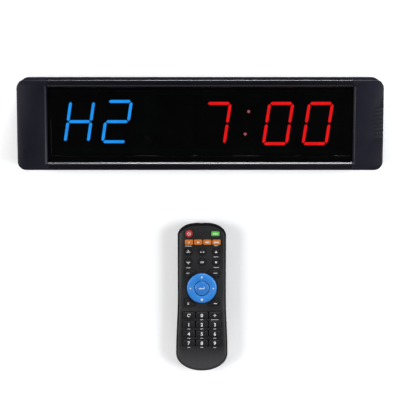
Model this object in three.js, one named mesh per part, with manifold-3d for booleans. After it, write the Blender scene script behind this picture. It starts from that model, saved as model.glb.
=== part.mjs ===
// Gym round timer: a wall display with six seven-segment LED digits, and the infrared handset that runs it.
// Millimetres. The display lies on its back: +X runs along it, +Y up its face and +Z out of its face.
// The origin is the centre of the display's rear face. The handset lies below the display, keys up,
// on the same plane, so the pair is laid out as it comes out of its box.

import * as THREE from "three";
import { mergeVertices } from "three/addons/utils/BufferGeometryUtils.js";
import Module from "manifold-3d";

const wasm = await Module();
wasm.setup();

// ---------------------------------------------------------------- driving dimensions

const SEAT_GAP = 0.3; // between two pieces that seat on each other
const ARC_STEPS = 3; // quality of rounded edges: this many segments across each
const CORNER_STEPS = 1; // and of small round corners: twice this many segments around each
const WINDOW_STEPS = 4; // the same for the rounding round the window
const HOLE_SIDES = 16;
const PIN_SIDES = 8; // on thin pins and posts
const DISC_SIDES = 24; // on discs and drums
const RING_SIDES = 48; // on the handset's ring and the holes round it
const WELD = 0.1; // pieces of one solid run this far into each other
const PAST = 1; // and cutting tools run this far past the faces they open

// Display case: an aluminium extrusion closed by a moulded cap at each end.
const DISPLAY_WIDTH = 320;
const DISPLAY_HEIGHT = 79.3;
const DISPLAY_DEPTH = 34;
const CASE_WALL = 2;
const CASE_EDGE_RADIUS = 1.2;
const CAP_LENGTH = 26.5;
const CAP_CORNER_RADIUS = 7.5;
const CAP_WALL = CASE_WALL + 0.4; // the caps follow the case, a little thicker
const BAR_HEIGHT = 7.05; // front bars above and below the window, their rounding included
const WINDOW_ROUND = 3; // height of the rounding round the window, and its width on the bars
const CAP_ROUND = 3.4; // and its width on the two caps
const RAIL_REACH = 3; // rails stand this far out of the case's top and bottom walls
const RAIL_THICKNESS = 1.5;

// Window lens, held in grooves behind the front bars.
const LENS_THICKNESS = 2.5;
const LENS_OVERLAP = 2.4; // hidden behind the bars and the caps

// Circuit board, held in grooves nearer the rear.
const BOARD_THICKNESS = 1.6;
const BOARD_REAR_Z = 14.5;
const BOARD_EDGE_GAP = 1; // along the case's long walls
const BOARD_LEFT_GAP = 2.5; // from the case's left end
const BOARD_RIGHT_REACH = 19; // past the case's right end, into the right cap

// LED digits. Each pair has a centre along X, and its two digits stand a pitch apart.
const DIGIT_HEIGHT = 38.1;
const DIGIT_WIDTH = 22.8;
const DIGIT_SLANT_DEG = 8.5;
const SEGMENT_WIDTH = 2.6;
const SEGMENT_GAP = 0.55;
const SEGMENT_RELIEF = 0.4;
const MODULE_WIDTH = 31;
const MODULE_HEIGHT = 46;
const MODULE_DEPTH = 9.6;
const ROUND_PAIR_X = -89.5;
const ROUND_PITCH = 32.9;
const ROUND_RISE = 2.35;
const MINUTE_PAIR_X = -3.7;
const SECOND_PAIR_X = 85.8;
const TIME_PITCH = 34.8;
const TIME_RISE = 0.65;

// Colon between the minutes and the seconds.
const COLON_RISE = 1.3;
const COLON_SPACING = 19.9;
const COLON_WIDTH = 7;
const COLON_HEIGHT = 30;
const COLON_DOT_RADIUS = 1.3;

// Small parts on the board.
const RECEIVER_SIZE = { x: 6.4, y: 7.4, z: 6.2 };
const RECEIVER_AT = { x: -46, y: -14 };
const RECEIVER_DOME_RADIUS = 2.6;
const BUZZER_RADIUS = 7;
const BUZZER_HEIGHT = 8.6;
const BUZZER_AT = { x: 116, y: -12 };
const BUZZER_PORT_RADIUS = 1.4;
const BUZZER_PORT_DEPTH = 1.5;
const CHIP_SIZE = { x: 14, y: 14, z: 1.8 };
const CHIP_AT = { x: 30, y: -14 };
const CELL_RADIUS = 10;
const CELL_HEIGHT = 4.2;
const CELL_AT = { x: -40, y: -14 };

// Power socket for a 5.5 mm barrel plug, in the underside of the right cap.
const SOCKET_FROM_CAP_END = 13;
const SOCKET_BODY = { x: 9.4, y: 12, z: 10.8 };
const SOCKET_COLLAR_RADIUS = 4.1;
const SOCKET_BORE_RADIUS = 3.2;
const SOCKET_BORE_DEPTH = 10;
const SOCKET_PIN_RADIUS = 1.05;
const SOCKET_PIN_RECESS = 5;
const SOCKET_HOLE_CLEARANCE = 0.3;

// Case screws: two through each cap into the extrusion's screw ports.
const SCREW_Y = 30;
const SCREW_Z = 21.5;
const SCREW_RADIUS = 1.4;
const SCREW_HEAD_RADIUS = 2.7;
const SCREW_HEAD_HEIGHT = 1.6;
const SCREW_HEAD_RECESS = 0.6;
const SCREW_REACH = 10; // past the end of the extrusion
const SCREW_CLEARANCE = 0.3;
const SCREW_DRIVE = { width: 0.8, depth: 0.7, arm: 1.75 };
const PORT_RADIUS = 2.9;
const PORT_WEB = 2;

// Buzzer louvre: grooves over the right cap's outer edge, open at its side.
const LOUVRE_COUNT = 9;
const LOUVRE_PITCH = 3.4;
const LOUVRE_WIDTH = 0.9;
const LOUVRE_RISE = 2;
const LOUVRE_REACH = 8;
const LOUVRE_DEPTH = 0.5;
const LOUVRE_OPEN_Z = [13, 27];

// Hanger channel along the rear, and the two hangers that slide in it.
const CHANNEL_Y = 16;
const CHANNEL_MOUTH = 19;
const CHANNEL_WIDTH = 24;
const CHANNEL_DEPTH = 9;
const CHANNEL_LIP = 1.5;
const CHANNEL_WALL = 1.5;
const HANGER_LENGTH = 26;
const HANGER_THICKNESS = 3.6;
const HANGER_CLEARANCE = 0.4;
const HANGER_X = 90;
const KEYHOLE_HEAD_RADIUS = 4.2;
const KEYHOLE_SLOT_WIDTH = 4.6;
const KEYHOLE_DROP = 3.4; // the head hole sits this far below the hanger's centre
const KEYHOLE_RISE = 5; // and the slot's end this far above it

// Handset: two moulded shells, split at a parting plane.
const HANDSET_LENGTH = 136;
const HANDSET_HALF_WIDTH = 21.7;
const HANDSET_HEEL_HALF_WIDTH = 23.3;
const HANDSET_THICKNESS = 20;
const HANDSET_PARTING_Z = 11;
const HANDSET_WALL = 1.8;
const HANDSET_FACE = 1.6; // thickness of the key face
const HANDSET_CENTRE = { x: 1.5, y: -158.3 };
const HANDSET_STEPS = 5;
const TOP_CORNER = { x: 16.9, y: 11 };
const HEEL_DEPTH = 16;
const WAIST_Y = 1.5;
const HEEL_FLARE = 0.4; // how far each end of the flare keeps its direction
const UNDERSIDE_INSET = 5.5;
const HEEL_STEP = 2.6; // the face stops this far short of the heel
const FACE_DRAFT = 0.7; // the face leans in this far before its edge rounds over
const FACE_ROUND = 1.6;

// Keys. Each has its cap's size, and a skirt that keeps it behind the face.
const KEY_STAND = 1.4;
const KEY_CLEARANCE = 0.25;
const KEY_SKIRT = 0.7;
const KEY_SKIRT_TOP = 2; // below the face's outer surface
const KEY_SKIRT_BOTTOM = 3.4;
const KEY_CORNER = 1.1;
// The two top keys keep their distance from the shell's wall.
const HANDSET_INNER_X = HANDSET_HALF_WIDTH - HANDSET_WALL;
const HANDSET_INNER_TOP = HANDSET_LENGTH / 2 - HANDSET_WALL;
const POWER_KEY = { x: 8.4 - HANDSET_INNER_X, y: HANDSET_INNER_TOP - 6.3, radius: 3.3 };
const MODE_KEY = { x: HANDSET_INNER_X - 7.9, y: HANDSET_INNER_TOP - 6.35, width: 7.4, height: 4.2 };
const COLOUR_KEYS = { x: 0.8, y: 52.1, pitch: 8.15, width: 7.5, height: 4.8, count: 4 };
const ROUND_KEYS = { x: 0.3, pitch: 12.4, rows: [43.3, 34.1], radius: 3.2 };
const NAV_CENTRE_Y = 10.3;
const NAV_RING = { outer: 13.4, inner: 6.95, skirt: 14.4, stand: 2.1, clearance: 0.5 };
const NAV_SKIRT_HEIGHT = 0.9;
const NAV_PIVOT = { outer: 9.6, inner: 8.2, top: 4.5, bottom: 5.2 };
const ENTER_KEY = { radius: 6.5, stand: 2.4, flange: 7.6, flangeTop: 4.1, flangeBottom: 4.8 };
const WING_KEYS = { x: [5, 15.6], y: [8.8, 16.6], web: 1.5, corner: 3.4 };
const NUMBER_KEYS = {
  top: -14.5,
  pitchX: 11.7,
  pitchY: 8.5,
  width: 11,
  height: 5.8,
  columns: 3,
  rows: 4,
};

// Inside the handset.
const PAD_THICKNESS = 0.9;
const PAD_TOP = 4.7; // below the face's outer surface
const CIRCUIT_THICKNESS = 1.1;
const CIRCUIT_TOP_END = 62.5;
const PAD_EDGE_INSET = 3.2;
const PAD_NAV_HOLE = 10.4;
const POST_RADIUS = 1.7;
const POSTS = [
  { x: 14, y: 50 },
  { x: 14, y: 2 },
  { x: 15, y: -30 },
];
const CELL_AAA = { radius: 5.25, length: 44.5, nub: { radius: 1.9, length: 0.9 } };
const CELL_AAA_SPACING = 10.9;
const CELL_BAY_TOP = -9.5;
const BAY_WALL = 1.3;
const BAY_RISE = 2; // of its walls, above the axis of the cells
const CONTACT_THICKNESS = 0.5;
const CONTACT_FOOT = 3.1; // height of its lower end
const CONTACT_HALF_WIDTH = 3.7;
const EMITTER = {
  radius: 2.5,
  length: 8.2,
  flange: 2.9,
  flangeDepth: 1,
  recess: 0.4,
  clearance: 0.25,
};

// Battery door, which slides off over the heel.
const DOOR_THICKNESS = 1.8;
const LEDGE_THICKNESS = 1.2; // shell over the door's edges
const DOOR_LIP = 0.8;
const DOOR_HALF_WIDTH = 12.5;
const DOOR_TONGUE = 1;
const DOOR_GRIPS = { count: 4, start: 19, pitch: 2.4, halfLength: 6, width: 1, depth: 0.5 };
const DOOR_TOP = -7.5;
const DOOR_CLEARANCE = 0.3;

// ---------------------------------------------------------------- worked-out places

const HALF_WIDTH = DISPLAY_WIDTH / 2;
const HALF_HEIGHT = DISPLAY_HEIGHT / 2;
const CAP_INNER_X = HALF_WIDTH - CAP_LENGTH;
const CASE_HALF_LENGTH = CAP_INNER_X - SEAT_GAP;
const WINDOW_HALF_HEIGHT = HALF_HEIGHT - BAR_HEIGHT;
const WINDOW_HALF_WIDTH = CAP_INNER_X;
const LIP_UNDERSIDE = DISPLAY_DEPTH - WINDOW_ROUND;
const LENS_FRONT = LIP_UNDERSIDE - SEAT_GAP;
const LENS_REAR = LENS_FRONT - LENS_THICKNESS;
const INNER_Y = HALF_HEIGHT - CASE_WALL;
const BOARD_FRONT_Z = BOARD_REAR_Z + BOARD_THICKNESS;
const MODULE_REAR = BOARD_FRONT_Z + SEAT_GAP;
const SCREW_HEAD_SEAT = HALF_WIDTH - SCREW_HEAD_RECESS - SCREW_HEAD_HEIGHT;
const SOCKET_X = HALF_WIDTH - SOCKET_FROM_CAP_END;
const SOCKET_Z = BOARD_REAR_Z - SEAT_GAP - SOCKET_BODY.z / 2;
const FACE_Z = HANDSET_THICKNESS;
const FACE_UNDERSIDE = HANDSET_THICKNESS - HANDSET_FACE;
const PAD_FRONT = FACE_Z - PAD_TOP;
const CIRCUIT_FRONT = PAD_FRONT - PAD_THICKNESS - SEAT_GAP;
const CIRCUIT_REAR = CIRCUIT_FRONT - CIRCUIT_THICKNESS;
const EMITTER_Z = CIRCUIT_REAR - SEAT_GAP - EMITTER.flange;
const CELL_Z = DOOR_THICKNESS + SEAT_GAP + CELL_AAA.radius;
const CONTACT_ROOM = SEAT_GAP * 2 + CONTACT_THICKNESS;
const CELL_TOP_Y = CELL_BAY_TOP - BAY_WALL - CONTACT_ROOM - CELL_AAA.nub.length;
const CELL_MIDDLE_Y = CELL_TOP_Y - CELL_AAA.length / 2;
const CELL_END_Y = CELL_TOP_Y - CELL_AAA.length - CELL_AAA.nub.length;
const BAY_END_Y = CELL_END_Y - CONTACT_ROOM;
const BAY_HALF_WIDTH = CELL_AAA_SPACING / 2 + CELL_AAA.radius + SEAT_GAP;
const SHELL_FLOOR = DOOR_THICKNESS + DOOR_CLEARANCE + LEDGE_THICKNESS;

// ---------------------------------------------------------------- solids

// A closed three.js geometry as a manifold-3d solid.
function solid(geometry) {
  const bare = geometry.clone();
  bare.deleteAttribute("normal");
  bare.deleteAttribute("uv");
  const merged = mergeVertices(bare, 1e-4);
  const vertProperties = merged.attributes.position.array;
  const triVerts = new Uint32Array(merged.index.array);
  return new wasm.Manifold(new wasm.Mesh({ numProp: 3, vertProperties, triVerts }));
}

function geometryOf(made) {
  const { vertProperties, triVerts } = made.getMesh();
  const geometry = new THREE.BufferGeometry();
  geometry.setAttribute("position", new THREE.BufferAttribute(new Float32Array(vertProperties), 3));
  geometry.setIndex(new THREE.BufferAttribute(new Uint32Array(triVerts), 1));
  const flat = geometry.toNonIndexed();
  flat.computeVertexNormals();
  return flat;
}

function joined(solids) {
  return solids.reduce((whole, piece) => whole.add(piece));
}

function cut(whole, tools) {
  return tools.reduce((left, tool) => left.subtract(tool), whole);
}

function block([x0, x1], [y0, y1], [z0, z1]) {
  const geometry = new THREE.BoxGeometry(x1 - x0, y1 - y0, z1 - z0);
  return solid(geometry.translate((x0 + x1) / 2, (y0 + y1) / 2, (z0 + z1) / 2));
}

// A round bar along an axis, from one end to the other, through a point given in the other two axes.
function rod(axis, radius, [from, to], { x = 0, y = 0, z = 0 } = {}, sides = HOLE_SIDES) {
  const geometry = new THREE.CylinderGeometry(radius, radius, to - from, sides);
  const middle = (from + to) / 2;
  if (axis === "x") return solid(geometry.rotateZ(Math.PI / 2).translate(middle, y, z));
  if (axis === "y") return solid(geometry.translate(x, middle, z));
  return solid(geometry.rotateX(Math.PI / 2).translate(x, y, middle));
}

// A flat shape in XY, from one height to another.
function plate(shape, [z0, z1]) {
  const options = { depth: z1 - z0, bevelEnabled: false, curveSegments: CORNER_STEPS };
  return solid(new THREE.ExtrudeGeometry(shape, options).translate(0, 0, z0));
}

function roundedRect([x0, x1], [y0, y1], radius) {
  const shape = new THREE.Shape();
  shape.moveTo(x0 + radius, y0);
  shape.lineTo(x1 - radius, y0);
  shape.absarc(x1 - radius, y0 + radius, radius, -Math.PI / 2, 0);
  shape.lineTo(x1, y1 - radius);
  shape.absarc(x1 - radius, y1 - radius, radius, 0, Math.PI / 2);
  shape.lineTo(x0 + radius, y1);
  shape.absarc(x0 + radius, y1 - radius, radius, Math.PI / 2, Math.PI);
  shape.lineTo(x0, y0 + radius);
  shape.absarc(x0 + radius, y0 + radius, radius, Math.PI, Math.PI * 1.5);
  return shape;
}

function centredRect(width, height, radius) {
  return roundedRect([-width / 2, width / 2], [-height / 2, height / 2], radius);
}

// A solid through outlines of equal point count, given as { z, points }, from the lowest up.
function loft(layers) {
  const count = layers[0].points.length;
  const vertices = layers.flatMap(({ z, points }) => points.flatMap((p) => [p.x, p.y, z]));
  const faces = [];
  layers.slice(1).forEach((_, k) => {
    for (let i = 0; i < count; i++) {
      const j = (i + 1) % count;
      const [a, b, c, d] = [k * count + i, k * count + j, (k + 1) * count + j, (k + 1) * count + i];
      faces.push(a, b, c, a, c, d);
    }
  });
  const top = count * (layers.length - 1);
  for (const [a, b, c] of THREE.ShapeUtils.triangulateShape(layers[0].points, [])) faces.push(a, c, b);
  for (const [a, b, c] of THREE.ShapeUtils.triangulateShape(layers.at(-1).points, [])) {
    faces.push(top + a, top + b, top + c);
  }
  const geometry = new THREE.BufferGeometry();
  geometry.setAttribute("position", new THREE.Float32BufferAttribute(vertices, 3));
  geometry.setIndex(faces);
  return solid(geometry);
}

// Heights and insets of a slab whose front and rear edges are rounded, from the rear up.
function roundedEdges(depth, radius) {
  const steps = Array.from({ length: ARC_STEPS + 1 }, (_, k) => (Math.PI / 2) * (k / ARC_STEPS));
  const rear = steps.map((a) => ({ z: radius * (1 - Math.cos(a)), inset: radius * (1 - Math.sin(a)) }));
  const front = rear.map(({ z, inset }) => ({ z: depth - z, inset })).reverse();
  return [...rear, ...front];
}

// ---------------------------------------------------------------- materials

function finish(color, roughness, metalness, extra = {}) {
  return new THREE.MeshStandardMaterial({ color, roughness, metalness, ...extra });
}

const materials = {
  casing: finish(0x1c1c28, 0.4, 0.3),
  cap: finish(0x1d1e2b, 0.45, 0),
  lens: finish(0x050505, 0.08, 0, { transparent: true, opacity: 0.6 }),
  digitBlue: finish(0x1e96ff, 0.4, 0),
  digitRed: finish(0xee1515, 0.4, 0),
  circuit: finish(0x14502a, 0.5, 0),
  component: finish(0x121214, 0.5, 0),
  steel: finish(0xb8b8bc, 0.35, 1),
  handset: finish(0x333335, 0.55, 0),
  keyGrey: finish(0x303036, 0.6, 0),
  keyRed: finish(0xd8403c, 0.5, 0),
  keyGreen: finish(0x5cc04a, 0.5, 0),
  keyOrange: finish(0xd07a1c, 0.5, 0),
  keyBlue: finish(0x2f86e6, 0.35, 0),
  padRubber: finish(0x26262a, 0.8, 0),
  emitter: finish(0x2a1430, 0.1, 0),
  battery: finish(0xa8a8a2, 0.3, 0.8),
};

const timer = new THREE.Group();
const handset = new THREE.Group();
handset.position.set(HANDSET_CENTRE.x, HANDSET_CENTRE.y, 0);
timer.add(handset);

function add(parent, name, material, made, { x = 0, y = 0, z = 0 } = {}) {
  const mesh = new THREE.Mesh(geometryOf(made), material.clone());
  mesh.name = name;
  mesh.position.set(x, y, z);
  parent.add(mesh);
  return mesh;
}

// ---------------------------------------------------------------- display case

// The window's opening through the front, its edges rounded over from the lip out to the front face.
function windowOpening() {
  const layer = (z, grow) => {
    const x = WINDOW_HALF_WIDTH + grow * CAP_ROUND;
    const y = WINDOW_HALF_HEIGHT + grow * WINDOW_ROUND;
    const corners = [
      [-x, -y],
      [x, -y],
      [x, y],
      [-x, y],
    ];
    return { z, points: corners.map(([cx, cy]) => new THREE.Vector2(cx, cy)) };
  };
  const rounding = Array.from({ length: WINDOW_STEPS + 1 }, (_, k) => {
    const turn = (Math.PI / 2) * (k / WINDOW_STEPS);
    return layer(LIP_UNDERSIDE + WINDOW_ROUND * Math.sin(turn), 1 - Math.cos(turn));
  });
  return loft([layer(LENS_REAR, 0), ...rounding, layer(DISPLAY_DEPTH + PAST, 1)]);
}

// The extrusion's outer outline as a slab with rounded front and rear edges.
function caseSlab() {
  const x = CASE_HALF_LENGTH;
  return loft(
    roundedEdges(DISPLAY_DEPTH, CASE_EDGE_RADIUS).map(({ z, inset }) => {
      const y = HALF_HEIGHT - inset;
      return {
        z,
        points: [
          new THREE.Vector2(-x, -y),
          new THREE.Vector2(x, -y),
          new THREE.Vector2(x, y),
          new THREE.Vector2(-x, y),
        ],
      };
    }),
  );
}

function caseExtrusion() {
  const along = [-CASE_HALF_LENGTH, CASE_HALF_LENGTH];
  const cutAlong = [-CASE_HALF_LENGTH - PAST, CASE_HALF_LENGTH + PAST];
  const cavity = block(cutAlong, [-INNER_Y, INNER_Y], [CASE_WALL, LIP_UNDERSIDE]);
  let shell = caseSlab().subtract(cavity).subtract(windowOpening());

  const railZ = [
    LENS_REAR - SEAT_GAP - RAIL_THICKNESS, // behind the lens
    BOARD_FRONT_Z + SEAT_GAP, // in front of the board
    BOARD_REAR_Z - SEAT_GAP - RAIL_THICKNESS, // behind the board
  ];
  for (const side of [-1, 1]) {
    const wall = side * (INNER_Y + WELD);
    const edge = side * (INNER_Y - RAIL_REACH);
    const span = [Math.min(wall, edge), Math.max(wall, edge)];
    for (const z of railZ) shell = shell.add(block(along, span, [z, z + RAIL_THICKNESS]));
    const webSpan = [Math.min(side * SCREW_Y, wall), Math.max(side * SCREW_Y, wall)];
    const web = block(along, webSpan, [SCREW_Z - PORT_WEB / 2, SCREW_Z + PORT_WEB / 2]);
    const port = rod("x", PORT_RADIUS, along, { y: side * SCREW_Y, z: SCREW_Z });
    shell = shell.add(web).add(port);
  }
  for (const side of [-1, 1]) {
    const bore = rod("x", SCREW_RADIUS + SEAT_GAP, cutAlong, { y: side * SCREW_Y, z: SCREW_Z });
    shell = shell.subtract(bore);
  }

  const outer = CHANNEL_WIDTH / 2 + CHANNEL_WALL;
  const channelBody = block(
    along,
    [CHANNEL_Y - outer, CHANNEL_Y + outer],
    [CASE_WALL - WELD, CHANNEL_DEPTH + CHANNEL_WALL],
  );
  const channelRoom = block(
    cutAlong,
    [CHANNEL_Y - CHANNEL_WIDTH / 2, CHANNEL_Y + CHANNEL_WIDTH / 2],
    [CHANNEL_LIP, CHANNEL_DEPTH],
  );
  const channelMouth = block(
    cutAlong,
    [CHANNEL_Y - CHANNEL_MOUTH / 2, CHANNEL_Y + CHANNEL_MOUTH / 2],
    [-PAST, CHANNEL_LIP + WELD],
  );
  return cut(shell.add(channelBody), [channelRoom, channelMouth]);
}

// One cap's outline at an inset from its outer edges, open side on CAP_INNER_X.
function capOutline(inset, innerX = CAP_INNER_X) {
  const radius = CAP_CORNER_RADIUS - inset;
  const right = HALF_WIDTH - inset;
  const top = HALF_HEIGHT - inset;
  const shape = new THREE.Shape();
  shape.moveTo(innerX, -top);
  shape.lineTo(right - radius, -top);
  shape.absarc(right - radius, -top + radius, radius, -Math.PI / 2, 0);
  shape.lineTo(right, top - radius);
  shape.absarc(right - radius, top - radius, radius, 0, Math.PI / 2);
  shape.lineTo(innerX, top);
  return shape.extractPoints(ARC_STEPS).shape;
}

function capShell() {
  const outer = loft(
    roundedEdges(DISPLAY_DEPTH, CASE_EDGE_RADIUS).map(({ z, inset }) => ({ z, points: capOutline(inset) })),
  );
  const room = capOutline(CAP_WALL, CAP_INNER_X - PAST);
  const hollow = loft([
    { z: CAP_WALL, points: room },
    { z: LIP_UNDERSIDE, points: room },
  ]);
  let shell = outer.subtract(hollow).subtract(windowOpening());
  const bossSpan = [CAP_INNER_X, HALF_WIDTH - CAP_WALL / 2];
  for (const side of [-1, 1]) {
    const at = { y: side * SCREW_Y, z: SCREW_Z };
    const tie = side * (HALF_HEIGHT - CAP_WALL + WELD);
    const webSpan = [Math.min(side * SCREW_Y, tie), Math.max(side * SCREW_Y, tie)];
    const web = block(bossSpan, webSpan, [SCREW_Z - PORT_WEB / 2, SCREW_Z + PORT_WEB / 2]);
    shell = shell.add(rod("x", PORT_RADIUS + SCREW_CLEARANCE, bossSpan, at)).add(web);
  }
  for (const side of [-1, 1]) {
    const at = { y: side * SCREW_Y, z: SCREW_Z };
    const shankHole = rod("x", SCREW_RADIUS + SCREW_CLEARANCE, [CAP_INNER_X - PAST, HALF_WIDTH], at);
    const headRadius = SCREW_HEAD_RADIUS + SCREW_CLEARANCE;
    const headHole = rod("x", headRadius, [SCREW_HEAD_SEAT - SEAT_GAP, HALF_WIDTH + PAST], at);
    shell = cut(shell, [shankHole, headHole]);
  }
  return shell;
}

function rightCap() {
  const radius = SOCKET_COLLAR_RADIUS + SOCKET_HOLE_CLEARANCE;
  const socketHole = rod("y", radius, [-HALF_HEIGHT - PAST, -HALF_HEIGHT + CAP_WALL + PAST], {
    x: SOCKET_X,
    z: SOCKET_Z,
  });
  const grooves = Array.from({ length: LOUVRE_COUNT }, (_, k) => {
    const y = LOUVRE_RISE + (k - (LOUVRE_COUNT - 1) / 2) * LOUVRE_PITCH;
    const span = [y - LOUVRE_WIDTH / 2, y + LOUVRE_WIDTH / 2];
    const over = [HALF_WIDTH - LOUVRE_REACH, HALF_WIDTH + PAST];
    const front = block(over, span, [DISPLAY_DEPTH - LOUVRE_DEPTH, DISPLAY_DEPTH + PAST]);
    const open = block([HALF_WIDTH - CAP_WALL - PAST, HALF_WIDTH + PAST], span, LOUVRE_OPEN_Z);
    return front.add(open);
  });
  return cut(capShell(), [socketHole, ...grooves]);
}

add(timer, "case_extrusion", materials.casing, caseExtrusion());
add(timer, "left_end_cap", materials.cap, capShell().mirror([1, 0, 0]));
add(timer, "right_end_cap", materials.cap, rightCap());

const lensHalfWidth = WINDOW_HALF_WIDTH + LENS_OVERLAP;
const lensHalfHeight = WINDOW_HALF_HEIGHT + LENS_OVERLAP;
add(
  timer,
  "front_lens",
  materials.lens,
  block([-lensHalfWidth, lensHalfWidth], [-lensHalfHeight, lensHalfHeight], [LENS_REAR, LENS_FRONT]),
);

// A pan-head screw with a cross recess, its head's outer face at the origin and its shank towards -X.
function caseScrew() {
  const shankEnd = -(SCREW_HEAD_HEIGHT + SCREW_HEAD_SEAT - CASE_HALF_LENGTH + SCREW_REACH);
  const head = rod("x", SCREW_HEAD_RADIUS, [-SCREW_HEAD_HEIGHT, 0]);
  const shank = rod("x", SCREW_RADIUS, [shankEnd, -SCREW_HEAD_HEIGHT + WELD], {}, PIN_SIDES);
  const { width, depth, arm } = SCREW_DRIVE;
  const slots = [
    block([-depth, PAST], [-arm, arm], [-width / 2, width / 2]),
    block([-depth, PAST], [-width / 2, width / 2], [-arm, arm]),
  ];
  return cut(head.add(shank), slots);
}

for (const [sideName, side] of [
  ["left", -1],
  ["right", 1],
]) {
  for (const [endName, end] of [
    ["lower", -1],
    ["upper", 1],
  ]) {
    const made = side < 0 ? caseScrew().mirror([1, 0, 0]) : caseScrew();
    const at = { x: side * (HALF_WIDTH - SCREW_HEAD_RECESS), y: end * SCREW_Y, z: SCREW_Z };
    add(timer, `${sideName}_${endName}_cap_screw`, materials.steel, made, at);
  }
}

// ---------------------------------------------------------------- hangers

// A T-section slider, centred on its keyhole's line, flush with the rear face.
function hanger() {
  const x = [-HANGER_LENGTH / 2, HANGER_LENGTH / 2];
  const padHalf = CHANNEL_MOUTH / 2 - HANGER_CLEARANCE;
  const tongueHalf = CHANNEL_WIDTH / 2 - HANGER_CLEARANCE;
  const shoulder = CHANNEL_LIP + SEAT_GAP;
  const pad = block(x, [-padHalf, padHalf], [0, shoulder + WELD]);
  const tongue = block(x, [-tongueHalf, tongueHalf], [shoulder, HANGER_THICKNESS]);
  const through = [-PAST, HANGER_THICKNESS + PAST];
  const headHole = rod("z", KEYHOLE_HEAD_RADIUS, through, { y: -KEYHOLE_DROP });
  const half = KEYHOLE_SLOT_WIDTH / 2;
  const slot = block([-half, half], [-KEYHOLE_DROP, KEYHOLE_RISE], through);
  const slotEnd = rod("z", half, through, { y: KEYHOLE_RISE });
  return cut(pad.add(tongue), [headHole, slot, slotEnd]);
}

add(timer, "left_hanger", materials.steel, hanger(), { x: -HANGER_X, y: CHANNEL_Y });
add(timer, "right_hanger", materials.steel, hanger(), { x: HANGER_X, y: CHANNEL_Y });

// ---------------------------------------------------------------- board and digits

// The seven segments of one digit, as outlines around the digit's centre.
function segmentShapes() {
  const halfStroke = SEGMENT_WIDTH / 2;
  const reachX = DIGIT_WIDTH / 2 - halfStroke;
  const reachY = DIGIT_HEIGHT / 2 - halfStroke;
  const slant = Math.tan(THREE.MathUtils.degToRad(DIGIT_SLANT_DEG));
  const leaning = ([x, y]) => new THREE.Vector2(x + y * slant, y);
  const bar = (x0, y0, x1, y1) => {
    const direction = new THREE.Vector2(x1 - x0, y1 - y0).normalize();
    const side = new THREE.Vector2(-direction.y, direction.x).multiplyScalar(halfStroke);
    const start = new THREE.Vector2(x0, y0).addScaledVector(direction, SEGMENT_GAP);
    const end = new THREE.Vector2(x1, y1).addScaledVector(direction, -SEGMENT_GAP);
    const shoulderIn = start.clone().addScaledVector(direction, halfStroke);
    const shoulderOut = end.clone().addScaledVector(direction, -halfStroke);
    const points = [
      start,
      shoulderIn.clone().sub(side),
      shoulderOut.clone().sub(side),
      end,
      shoulderOut.clone().add(side),
      shoulderIn.clone().add(side),
    ];
    return new THREE.Shape(points.map((p) => leaning([p.x, p.y])));
  };
  return [
    bar(-reachX, reachY, reachX, reachY),
    bar(reachX, 0, reachX, reachY),
    bar(reachX, -reachY, reachX, 0),
    bar(-reachX, -reachY, reachX, -reachY),
    bar(-reachX, -reachY, -reachX, 0),
    bar(-reachX, 0, -reachX, reachY),
    bar(-reachX, 0, reachX, 0),
  ];
}

// A digit module, its rear face at the origin.
function digitModule() {
  const half = { x: MODULE_WIDTH / 2, y: MODULE_HEIGHT / 2 };
  const body = block([-half.x, half.x], [-half.y, half.y], [0, MODULE_DEPTH]);
  const relief = [MODULE_DEPTH - WELD, MODULE_DEPTH + SEGMENT_RELIEF];
  return joined([body, ...segmentShapes().map((shape) => plate(shape, relief))]);
}

for (const [pair, middle, pitch, rise, material] of [
  ["round", ROUND_PAIR_X, ROUND_PITCH, ROUND_RISE, materials.digitBlue],
  ["minute", MINUTE_PAIR_X, TIME_PITCH, TIME_RISE, materials.digitRed],
  ["second", SECOND_PAIR_X, TIME_PITCH, TIME_RISE, materials.digitRed],
]) {
  for (const [place, side] of [
    ["tens", -1],
    ["units", 1],
  ]) {
    const at = { x: middle + (side * pitch) / 2, y: rise, z: MODULE_REAR };
    add(timer, `${pair}_${place}_digit`, material, digitModule(), at);
  }
}

// The colon's block, its two lamps leaning as the digits do.
function colonModule() {
  const half = { x: COLON_WIDTH / 2, y: COLON_HEIGHT / 2 };
  const body = block([-half.x, half.x], [-half.y, half.y], [0, MODULE_DEPTH]);
  const lean = (COLON_SPACING / 2) * Math.tan(THREE.MathUtils.degToRad(DIGIT_SLANT_DEG));
  const dots = [-1, 1].map((side) =>
    rod("z", COLON_DOT_RADIUS, [MODULE_DEPTH - WELD, MODULE_DEPTH + SEGMENT_RELIEF], {
      x: side * lean,
      y: (side * COLON_SPACING) / 2,
    }),
  );
  return joined([body, ...dots]);
}

const colonX = (MINUTE_PAIR_X + SECOND_PAIR_X) / 2;
add(timer, "colon_lamps", materials.digitRed, colonModule(), { x: colonX, y: COLON_RISE, z: MODULE_REAR });

// The circuit board, with the controller chip and the clock cell's holder soldered to its rear.
function displayBoard() {
  const x = [-CASE_HALF_LENGTH + BOARD_LEFT_GAP, CASE_HALF_LENGTH + BOARD_RIGHT_REACH];
  const halfHeight = INNER_Y - BOARD_EDGE_GAP;
  const panel = block(x, [-halfHeight, halfHeight], [BOARD_REAR_Z, BOARD_FRONT_Z]);
  const chip = block(
    [CHIP_AT.x - CHIP_SIZE.x / 2, CHIP_AT.x + CHIP_SIZE.x / 2],
    [CHIP_AT.y - CHIP_SIZE.y / 2, CHIP_AT.y + CHIP_SIZE.y / 2],
    [BOARD_REAR_Z - CHIP_SIZE.z, BOARD_REAR_Z + WELD],
  );
  const holderSpan = [BOARD_REAR_Z - CELL_HEIGHT, BOARD_REAR_Z + WELD];
  const holder = rod("z", CELL_RADIUS, holderSpan, CELL_AT, DISC_SIDES);
  return joined([panel, chip, holder]);
}

add(timer, "display_board", materials.circuit, displayBoard());

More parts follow.
